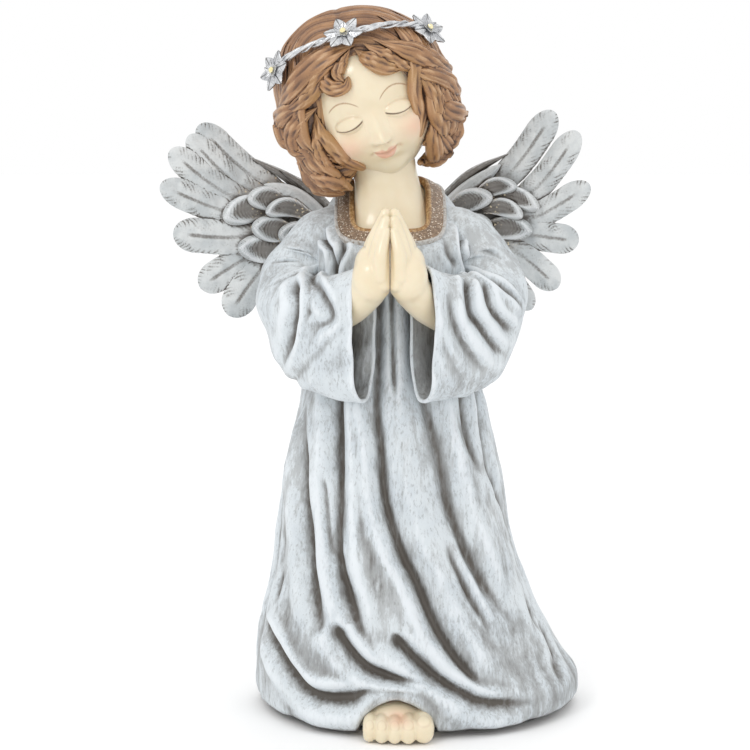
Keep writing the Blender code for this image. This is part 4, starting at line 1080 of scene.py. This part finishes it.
# Locks at the front: (curve on the view plane, width, height, strands)
FRONT_LOCKS = [
    ([(-25, 330), (-36, 326), (-48, 317), (-57, 306), (-62, 297)], 13, 4.0, 3),
    ([(-27, 328), (-40, 320), (-49, 310), (-58, 300)], 11, 4.5, 3),
    ([(-28, 327), (-40, 318), (-45, 308), (-52, 301), (-60, 298)], 9, 5.0, 3),
    ([(-29, 329), (-37, 322), (-39, 314), (-35, 309), (-29, 310), (-28, 315)], 8.5, 4.6, 3),
    ([(-27, 329), (-31, 322), (-33, 315), (-29, 311)], 7.0, 4.0, 2),
    ([(-33, 328), (-42, 320), (-43, 312), (-40, 307)], 7.5, 4.2, 2),
    ([(-46, 302), (-56, 299), (-61, 290), (-60, 279), (-52, 273)], 12, 5.5, 3),
    ([(-43, 300), (-51, 294), (-54, 286), (-50, 279), (-43, 281)], 10, 5.5, 3),
    ([(-45, 292), (-43, 282), (-39, 274), (-33, 268)], 7.5, 4.5, 3),
    ([(-54, 280), (-51, 271), (-46, 262), (-39, 257), (-30, 256)], 12, 6.0, 3),
    ([(-49, 276), (-44, 268), (-37, 265), (-31, 263), (-26, 260)], 9.5, 5.5, 3),
    ([(-59, 304), (-62, 294), (-62, 284), (-57, 274)], 10, 5.0, 3),
    ([(-25, 328), (-18, 323), (-10, 319), (0, 320)], 9.0, 4.2, 3),
    ([(-21, 331), (-11, 325), (-2, 321), (6, 317)], 9.0, 4.6, 3),
    ([(-16, 333), (-2, 328), (10, 323), (20, 317), (25, 308)], 12, 4.6, 4),
    ([(-3, 322), (8, 317), (17, 313), (23, 306), (25, 297)], 10, 5.5, 3),
    ([(2, 319), (9, 313), (13, 304), (14, 294), (15, 286)], 8.0, 5.0, 3),
    ([(14, 308), (17, 300), (24, 297), (28, 291), (25, 282)], 11, 6.0, 3),
    ([(13, 293), (17, 285), (21, 277), (16, 270), (8, 270)], 10, 6.0, 3),
    ([(13, 297), (13, 286), (13, 277), (9, 270)], 8.0, 5.0, 3),
    ([(24, 300), (26, 292), (25, 282), (20, 273)], 11, 5.5, 3),
]


def build_hair(paint):
    columns, rows = 430, 250
    d = sphere_grid(full_turn(columns)[None], latitudes(rows))
    radius = blur(hair_radius(d, False), 3)
    # Strands run from the parting down to each side, in planes across the head.
    run = np.degrees(np.arcsin(np.clip(d[..., 1], -1, 1)))
    bend = 5.0 * waves(d * 40, 55, 3, 2) + 4.0 * np.sin(np.arctan2(d[..., 2], np.abs(d[..., 0])) * 3.2)
    strand = run + bend
    broad = pulse(strand / 9.0, 2)
    fine = (0.5 - 0.5 * np.cos(TURN * strand / 2.7 + 2 * waves(d * 40, 30, 5, 2))) ** 2
    parting = np.exp(-((d[..., 0] / 0.035) ** 2)) * smooth_step(d[..., 2], 0.3, 0.6)
    groove = 0.75 * broad + 0.6 * fine + 0.5 * parting
    radius = radius - 1.1 - 1.0 * groove
    low = smooth_step(-d[..., 2], 0.72, 0.98)
    radius = radius * (1 - 0.3 * low)
    points = (d * radius[..., None]).reshape(-1, 3)
    shell = (to_world(points), grid_faces(rows, columns), {"cavity": (0.9 * groove).ravel()})
    parts = []
    for number, (curve, width, height, strands) in enumerate(FRONT_LOCKS):
        path = on_hair(spline(curve, 24))
        made = lock(path, width, height, strands, 300 + number)
        parts.append((to_world(made[0]), made[1], made[2]))
    # Wavy locks over the sides and the back, in two layers.
    source = np.random.default_rng(12)
    for layer, (count, start_high, end_high, width, height) in enumerate(((24, 60, -42, 13.0, 3.8), (23, 12, -52, 12.5, 5.0))):
        for number in range(count):
            azimuth = -90 + 52 + (360 - 104) * (number + 0.5 * layer) / (count - 1 + 0.5)  # -90 degrees is the front
            azimuth += source.uniform(-2.5, 2.5)
            path = []
            sway, late = source.uniform(5, 8), 0.9 + 1.9 * layer + source.uniform(-0.35, 0.35)
            for share in np.linspace(0, 1, 16):
                high_angle = start_high + (end_high - start_high) * share + source.uniform(-0.5, 0.5)
                around = azimuth + sway * share**0.7 * math.sin(TURN * (0.95 * share) + late)
                if share > 0.8:
                    around += 13 * (share - 0.8) / 0.2 * (1 if number % 3 else -1)
                a, b = math.radians(high_angle), math.radians(around)
                direction = np.array([math.cos(a) * math.cos(b), math.cos(a) * math.sin(b), math.sin(a)])
                path.append(direction * (hair_radius(direction[None])[0] - 1.4))
            made = lock(np.array(path), width, height, 3, 500 + 40 * layer + number, 64, 0.6, 0.45)
            parts.append((to_world(made[0]), made[1], made[2]))
    points, faces, layers = joined([shell] + parts)
    hidden = shelter(points, faces, 6.0)
    # Painted shade: the wash is also laid wherever the hair hides the sky.
    layers["cavity"] = layers["cavity"] * 0.75 + 2.8 * np.clip(hidden - 0.2, 0, 1)
    local = to_local(points)
    warm = 1 - smooth_step(opening_share(local), 1.0, 1.5)
    layers["warm"] = warm
    shell_count = len(shell[0])
    split = len(shell[1])
    new_mesh("hair_shell", points[:shell_count], faces[:split], paint, "hair",
             {key: value[:shell_count] for key, value in layers.items()})
    new_mesh("hair_locks", points[shell_count:], faces[split:] - shell_count, paint, "hair",
             {key: value[shell_count:] for key, value in layers.items()})


def hair_paint():
    """Satin brown with a dark wash in the grooves, painted shade under and between the locks, and a golden glaze beside
    the face.
    """
    p = Paint("hair_paint")
    cavity, warm = p.layer("cavity"), p.layer("warm")
    cloud = p.noise(90, 4, 0.6)
    fine = p.noise(1300, 4, 0.6)
    body = p.mix(p.spread(cloud, 0.3, 0.7), (0.42, 0.22, 0.10), (0.26, 0.13, 0.065))
    body = p.mix(p.times(warm, p.spread(cloud, 0.4, 0.6, 0.1, 0.55)), body, (0.52, 0.30, 0.11))
    wash_and_shade = p.plus(cavity, p.swing(fine, 0.6))
    colour = p.mix(p.times(p.spread(wash_and_shade, 0.05, 0.85), 0.9), body, (0.115, 0.056, 0.032))
    # Near black where the grooves are deepest and the painted shade strongest.
    colour = p.mix(p.spread(cavity, 0.8, 1.7), colour, (0.045, 0.022, 0.014))
    edge = p.spread(p.times(wash_and_shade, -1.0), -0.05, 0.4, 0, 0.7)
    colour = p.mix(edge, colour, (0.58, 0.375, 0.215))
    p.bump(p.plus(fine, p.times(cloud, 0.5)), 0.16, 0.0004)
    return p.set(Base_Color=colour, Roughness=p.spread(cloud, 0.3, 0.7, 0.38, 0.48), Coat_Weight=0.15, Coat_Roughness=0.3)


# ---- circlet and flowers -------------------------------------------------------------------------------------------

CIRCLET_MIDDLE = np.array([0.0, 7.0, 19.0])
CIRCLET_TILT, CIRCLET_ROLL = math.radians(25), math.radians(4)
FLOWER_NAMES = ["front", "left", "back_left", "back_right", "right"]


def circlet_frame(turn, lift):
    """Place, outward and upward directions of the band at a turn, in the head's axes."""
    turn = np.asarray(turn, float)
    forward = np.array([0, -math.cos(CIRCLET_TILT), math.sin(CIRCLET_TILT)])
    across = np.array([math.cos(CIRCLET_ROLL), 0, -math.sin(CIRCLET_ROLL)])
    ray = np.sin(turn)[..., None] * across + np.cos(turn)[..., None] * forward
    near, far = np.zeros(turn.shape), np.full(turn.shape, 90.0)
    for _ in range(30):
        middle = (near + far) / 2
        place = CIRCLET_MIDDLE + ray * middle[..., None]
        inside = np.linalg.norm(place, axis=-1) < hair_radius(place)
        near, far = np.where(inside, middle, near), np.where(inside, far, middle)
    place = CIRCLET_MIDDLE + ray * near[..., None]
    outward = unit(place * (1, 1, 0.9))
    upward = np.array([math.sin(CIRCLET_ROLL), math.sin(CIRCLET_TILT), math.cos(CIRCLET_TILT)])
    upward = unit(upward - outward * (outward @ upward)[..., None])
    return place + outward * lift, outward, upward


def tube(path, radius, columns=12):
    """A closed loop of wire along a path."""
    along = unit(np.roll(path, -1, 0) - np.roll(path, 1, 0))
    side = unit(np.cross(along, path))
    other = np.cross(along, side)
    turn = full_turn(columns)
    ring = side[:, None] * np.cos(turn)[None, :, None] + other[:, None] * np.sin(turn)[None, :, None]
    points = path[:, None] + radius * ring
    rows = np.concatenate([points, points[:1]])
    faces = grid_faces(len(path) + 1, columns) % (len(path) * columns)
    return points.reshape(-1, 3), faces, {}


def build_circlet(paint):
    turn = full_turn(900)
    place, outward, upward = circlet_frame(turn, 1.9)
    smooth = place.copy()
    for _ in range(60):
        smooth = 0.5 * smooth + 0.25 * (np.roll(smooth, 1, 0) + np.roll(smooth, -1, 0))
    parts = []
    for strand, (size, spread) in enumerate(((1.0, 0.7), (0.9, 0.8), (0.5, 1.15))):
        twist = turn * 12 + strand * 2.1 + 0.5 * np.sin(turn * 5 + strand)
        offset = outward * (np.cos(twist) * spread)[:, None] + upward * (np.sin(twist) * spread * 1.15)[:, None]
        parts.append(tube(smooth + offset, size))
    points, faces, _ = joined(parts)
    new_mesh("circlet_wires", to_world(points), faces, paint, "circlet")


def star(radius, notch, petals, dome, cup, thick, twist=0.0):
    """A flower with pointed, creased petals, closed behind: points round its middle, with z outward."""
    columns, rings = petals * 16, 16
    turn = full_turn(columns)
    share = np.abs(((turn * petals / TURN) % 1) - 0.5) * 2  # 0 in the middle of a petal
    edge = notch + (radius - notch) * (1 - share) ** 0.85 * (0.75 + 0.25 * (1 - share))
    r = np.linspace(0.04, 1, rings)[:, None] ** 0.8
    out = r * edge[None]
    height = dome * (1 - r**1.6) + cup * (out / radius) ** 2
    height = height + thick * 0.5 * (1 - share)[None] ** 1.5 * smooth_step(r, 0.1, 0.5) * (1.2 - r)
    vein = np.exp(-((share / 0.10) ** 2))[None] * smooth_step(r, 0.2, 0.5)
    side_veins = (0.5 - 0.5 * np.cos((out - share[None] * 3.0) * 3.4)) ** 3 * smooth_step(share, 0.1, 0.4)[None]
    height = height - 0.32 * vein - 0.14 * side_veins * smooth_step(r, 0.3, 0.6)
    front = np.stack([out * np.cos(turn + twist), out * np.sin(turn + twist), height], -1)
    back = front[::-1] * (0.97, 0.97, 1) - (0, 0, thick)
    whole = np.concatenate([front, back])
    faces = grid_faces(2 * rings, columns)
    # The back of the flower, which faces the hair, gets painted shade.
    cavity = np.concatenate([1.2 * vein + 0.8 * side_veins + 0.8 * share[None] ** 3 * (1 - r), 0.6 + 0 * front[..., 0]])
    return whole.reshape(-1, 3), faces[:, ::-1], {"cavity": cavity.ravel()}


def build_flowers(paint, stone_paint):
    for number, name in enumerate(FLOWER_NAMES):
        beside = {"left": -9, "right": 15}.get(name, 0)
        place, outward, upward = circlet_frame(np.array(TURN * number / 5 + math.radians(beside)), 2.4)
        if beside:
            outward = unit(outward + np.array([0, -0.4, 0]))
            upward = unit(upward - outward * (outward @ upward))
            place = place + outward * 1.2 - upward * 3.0
        across = np.cross(upward, outward)
        frame_axes = np.stack([across, upward, outward])
        turned = 0.2 + 0.35 * number
        outer = star(10.0, 6.1, 6, 1.3, 1.2, 1.1, turned)
        inner = star(4.8, 2.7, 5, -0.2, 1.6, 0.6, turned + 0.4)
        parts = []
        for shape, lift in ((outer, 0.0), (inner, 1.7)):
            points = (shape[0] + (0, 0, lift)) @ frame_axes + place
            parts.append((to_world(points), shape[1], shape[2]))
        points, faces, layers = joined(parts)
        new_mesh(f"star_flower_{name}_petals", points, faces, paint, f"star_flower_{name}", layers)
        rings = [(0.05, 0.0), (1.35, 0.15), (1.5, 0.55), (0.85, 1.2), (0.04, 1.2)]
        sides = 10
        corner = full_turn(sides)
        gem = [[(r * math.cos(a + 0.31 * k), r * math.sin(a + 0.31 * k), h + 2.0) for a in corner] for k, (r, h) in enumerate(rings)]
        gem = to_world(np.array(gem).reshape(-1, 3) @ frame_axes + place)
        new_mesh(f"flower_stone_{name}_cut", gem, grid_faces(5, sides), stone_paint, f"flower_stone_{name}",
                 smooth=False)


def silver_paint():
    p = Paint("silver_paint")
    cavity = p.layer("cavity")
    fine = p.noise(900, 4, 0.6)
    cloud = p.noise(240, 3)
    body = p.mix(p.spread(cloud, 0.35, 0.65), (0.74, 0.75, 0.76), (0.46, 0.47, 0.49))
    wash_and_shade = p.plus(cavity, p.swing(fine, 0.8))
    colour = p.mix(p.spread(wash_and_shade, 0.25, 1.1), body, (0.16, 0.155, 0.15))
    p.bump(fine, 0.35, 0.0004)
    return p.set(Base_Color=colour, Metallic=0.85, Roughness=p.spread(fine, 0.3, 0.7, 0.22, 0.4))


def crystal_paint():
    p = Paint("crystal_paint")
    fine = p.noise(1500, 2)
    colour = p.mix(p.spread(fine, 0.4, 0.6), (0.85, 0.72, 0.30), (0.92, 0.85, 0.55))
    return p.set(Base_Color=colour, Metallic=0.25, Roughness=p.spread(fine, 0.3, 0.7, 0.03, 0.09), Coat_Weight=0.8)


# ---- hands and foot ------------------------------------------------------------------------------------------------


def sausage(path, radii, columns=28, samples=26):
    """A rounded rod along a path, with its own radius at each point: a closed mesh."""
    rows = spline(np.hstack([path, np.asarray(radii, float).reshape(len(path), -1)]), samples)
    centre, radius = rows[:, :3], rows[:, 3:]
    along = unit(np.gradient(centre, axis=0))
    side = unit(np.cross(along, (0.01, 1.0, 0.02)))
    other = np.cross(side, along)
    turn = full_turn(columns)
    wide = radius[:, :1]
    deep = radius[:, 1:2] if radius.shape[1] > 1 else wide
    rings = centre[:, None] + side[:, None] * (np.cos(turn) * wide)[..., None]
    rings = rings + other[:, None] * (np.sin(turn) * deep)[..., None]
    caps_start, caps_end = [], []
    for share in np.linspace(0.06, 0.94, 7):
        lean = math.cos(share * math.pi / 2)
        reach = math.sin(share * math.pi / 2)
        first = centre[0] - along[0] * min(wide[0, 0], deep[0, 0]) * lean
        last = centre[-1] + along[-1] * min(wide[-1, 0], deep[-1, 0]) * reach
        caps_start.append(first + (rings[0] - centre[0]) * reach)
        caps_end.append(last + (rings[-1] - centre[-1]) * lean)
    whole = np.concatenate([np.array(caps_start), rings, np.array(caps_end)])
    faces = grid_faces(len(whole), columns).tolist()
    last_row = (len(whole) - 1) * columns
    faces.append(list(range(columns))[::-1])
    faces.append([last_row + k for k in range(columns)])
    return whole.reshape(-1, 3), faces


def fused(shapes, voxel, smoothing):
    """One closed surface round overlapping closed shapes."""
    points, faces, start = [], [], 0
    for part_points, part_faces in shapes:
        points.extend(np.asarray(part_points).tolist())
        faces.extend([[v + start for v in face] for face in part_faces])
        start += len(part_points)
    mesh = bpy.data.meshes.new("draft")
    mesh.from_pydata(points, [], faces)
    draft = bpy.data.objects.new("draft", mesh)
    bpy.context.scene.collection.objects.link(draft)
    remesh = draft.modifiers.new("remesh", "REMESH")
    remesh.mode, remesh.voxel_size = "VOXEL", voxel
    smooth = draft.modifiers.new("smooth", "SMOOTH")
    smooth.factor, smooth.iterations = 0.5, smoothing
    made = draft.evaluated_get(bpy.context.evaluated_depsgraph_get()).to_mesh()
    result = np.array([v.co[:] for v in made.vertices])
    result_faces = [list(f.vertices) for f in made.polygons]
    bpy.data.objects.remove(draft)
    return result, result_faces


def closed_ball(centre, radii):
    points, faces = ball(centre, radii)
    count, faces = 44, faces.tolist()
    faces.append(list(range(count))[::-1])
    faces.append([len(points) - count + k for k in range(count)])
    return points, faces


# Fingers from the little finger to the first, from the palms' plane: knuckle, middle and tip, with their radii
FINGERS = [
    ([(4.8, -71.5, 224.0), (4.4, -71.0, 234.0), (1.9, -67.5, 245.0)], (3.6, 3.2, 2.3)),
    ([(7.2, -68.5, 228.0), (5.8, -67.0, 238.0), (2.0, -64.5, 250.0)], (3.8, 3.3, 2.5)),
    ([(9.3, -64.0, 230.0), (7.2, -62.8, 241.0), (2.1, -61.2, 253.0)], (3.8, 3.3, 2.6)),
    ([(10.6, -58.5, 229.0), (8.4, -58.0, 239.0), (2.4, -58.0, 250.5)], (3.8, 3.3, 2.5)),
]
THUMB = ([(10.0, -52.0, 221.0), (7.6, -49.5, 231.0), (3.0, -49.5, 241.0)], (4.2, 3.7, 2.7))
FILLING = ([(3.4, -68.0, 220.0), (3.2, -66.0, 235.0), (1.6, -63.0, 248.0)], ((3.8, 6.0), (3.4, 5.5), (1.8, 4.0)))


def build_hand(side_name, paint):
    side = SIDE[side_name]
    palm = [closed_ball((8.2, -64.0, 223.0), (9.8, 10.2, 12.0)), closed_ball((9.0, -60.0, 228.0), (8.0, 9.4, 10.6))]
    palm.append(sausage([(10.5, -60.0, 217.0), (18.5, -51.8, 207.5), (31.0, -39.5, 199.0)], (9.2, 8.4, 8.0)))
    shapes = [fused(palm, 0.7, 45)] + [sausage(path, radii) for path, radii in FINGERS + [THUMB, FILLING]]
    points, faces = fused(shapes, 0.45, 5)
    hollow = shelter_any(points, faces, 4.0)
    points[:, 0] = np.maximum(points[:, 0], 0.15)
    points = points * (side, 1, 1) + (PALMS_X, 0, 0)
    if side < 0:
        faces = [face[::-1] for face in faces]
    layers = {"lash": 0 * hollow, "brow": 0 * hollow, "lip": 0 * hollow, "blush": 0 * hollow}
    # Painted shade where the fingers and the palms hide the sky from one another.
    layers["shaded_crease"] = np.clip(hollow * 1.6 - 0.35, 0, 0.75)
    new_mesh(f"{side_name}_hand_skin", points, faces, paint, f"{side_name}_hand", layers)


def shelter_any(points, faces, reach):
    quads = np.array([face if len(face) == 4 else face + face[-1:] for face in faces])
    return shelter(points, quads, reach)


# Toes: across from the middle of the foot, length forward, radius
TOES = [(-13.6, -71.5, 3.2), (-7.8, -73.5, 3.4), (-1.6, -74.4, 3.5), (4.9, -74.6, 3.9), (12.2, -73.2, 5.0)]
FOOT_X = -4.0


def build_foot(paint):
    shapes = []
    for across, reach, radius in TOES:
        x = FOOT_X + across
        path = [(x * 0.94, -60, 9.5), (x, reach + 4, 8.6), (x, reach, radius + 2.4), (x, reach - 0.6, radius + 0.4)]
        shapes.append(sausage(path, (radius, radius, radius * 1.05, radius)))
    shapes.append(closed_ball((FOOT_X - 0.5, -52.5, 7.0), (17.0, 17.0, 11.0)))
    shapes.append(closed_ball((FOOT_X + 2, -48.0, 8.0), (14.0, 16.0, 12.0)))
    points, faces = fused(shapes, 0.5, 4)
    points[:, 2] = np.maximum(points[:, 2], 0.6)
    hollow = shelter_any(points, faces, 4.0)
    nails = np.zeros(len(points))
    for across, reach, radius in TOES:
        x = FOOT_X + across
        gap = np.hypot((points[:, 0] - x) / (radius * 0.62), (points[:, 1] - reach + radius * 0.35) / (radius * 0.62))
        top = smooth_step(points[:, 2], radius + 3.0, radius + 4.6)
        nails = np.maximum(nails, np.exp(-(((gap - 1) / 0.18) ** 2)) * top)
    layers = {"lash": 0 * hollow, "brow": 0 * hollow, "lip": 0 * hollow}
    # Painted shade where the toes hide the sky, with dark lines round the nails.
    layers["shaded_crease"] = np.clip(hollow * 1.8 - 0.3 + 0.7 * nails, 0, 1)
    layers["blush"] = np.exp(-(((points[:, 0] - FOOT_X) / 5.5) ** 2) - ((points[:, 2] - 11.5) / 2.6) ** 2)
    new_mesh("foot_skin", points, faces, paint, "foot", layers)


# ---- finishes of the hidden parts ----------------------------------------------------------------------------------


def steel_paint():
    p = Paint("pin_steel_paint")
    grain = p.noise(1200, 3, 0.6, p.stretch((1, 0.1, 1)))
    return p.set(Base_Color=p.mix(p.spread(grain, 0.3, 0.7), (0.55, 0.55, 0.56), (0.40, 0.40, 0.42)), Metallic=1.0,
                 Roughness=p.spread(grain, 0.3, 0.7, 0.25, 0.45))


def resin_paint():
    p = Paint("bare_resin_paint")
    grain = p.noise(500, 5, 0.7)
    pits = p.cells(420)
    colour = p.mix(p.spread(grain, 0.3, 0.7), (0.60, 0.57, 0.52), (0.48, 0.45, 0.40))
    p.bump(p.plus(grain, pits["Distance"]), 0.4, 0.0005)
    return p.set(Base_Color=colour, Roughness=p.spread(grain, 0.3, 0.7, 0.6, 0.8))


def felt_paint():
    p = Paint("felt_paint")
    fibre = p.noise(1600, 6, 0.75, p.stretch((1, 0.35, 1), (0, 0, 0.6)))
    other = p.noise(1500, 6, 0.75, p.stretch((0.35, 1, 1), (0, 0, 0.2)))
    both = p.times(p.plus(fibre, other), 0.5)
    p.bump(both, 0.9, 0.0008)
    return p.set(Base_Color=p.mix(p.spread(both, 0.35, 0.65), (0.10, 0.10, 0.105), (0.25, 0.25, 0.255)), Roughness=0.95)


def finish_cad(names, paint):
    for name in names:
        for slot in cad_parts[name].material_slots:
            slot.material = paint


# ---- build -------------------------------------------------------------------------------------------------------

build_camera()
build_stage()
robe_paint = antique_paint("robe_paint", (0.66, 0.705, 0.73), (0.58, 0.63, 0.665), (0.225, 0.225, 0.22), (0.10, 0.088, 0.075))
build_robe(robe_paint)
for side_name in SIDE:
    build_sleeve(side_name, robe_paint)
build_collar(collar_paint())
skin = skin_paint()
build_head(skin)
feathers = wing_paint()
for side_name in SIDE:
    build_wing(side_name, feathers)
    build_hand(side_name, skin)
build_foot(skin)
build_hair(hair_paint())
silver = silver_paint()
build_circlet(silver)
build_flowers(silver, crystal_paint())
finish_cad([f"{side}_wing_pin_{end}" for side in SIDE for end in ("upper", "lower")], steel_paint())
finish_cad(["base_plate"], resin_paint())
finish_cad(["felt_pad"], felt_paint())
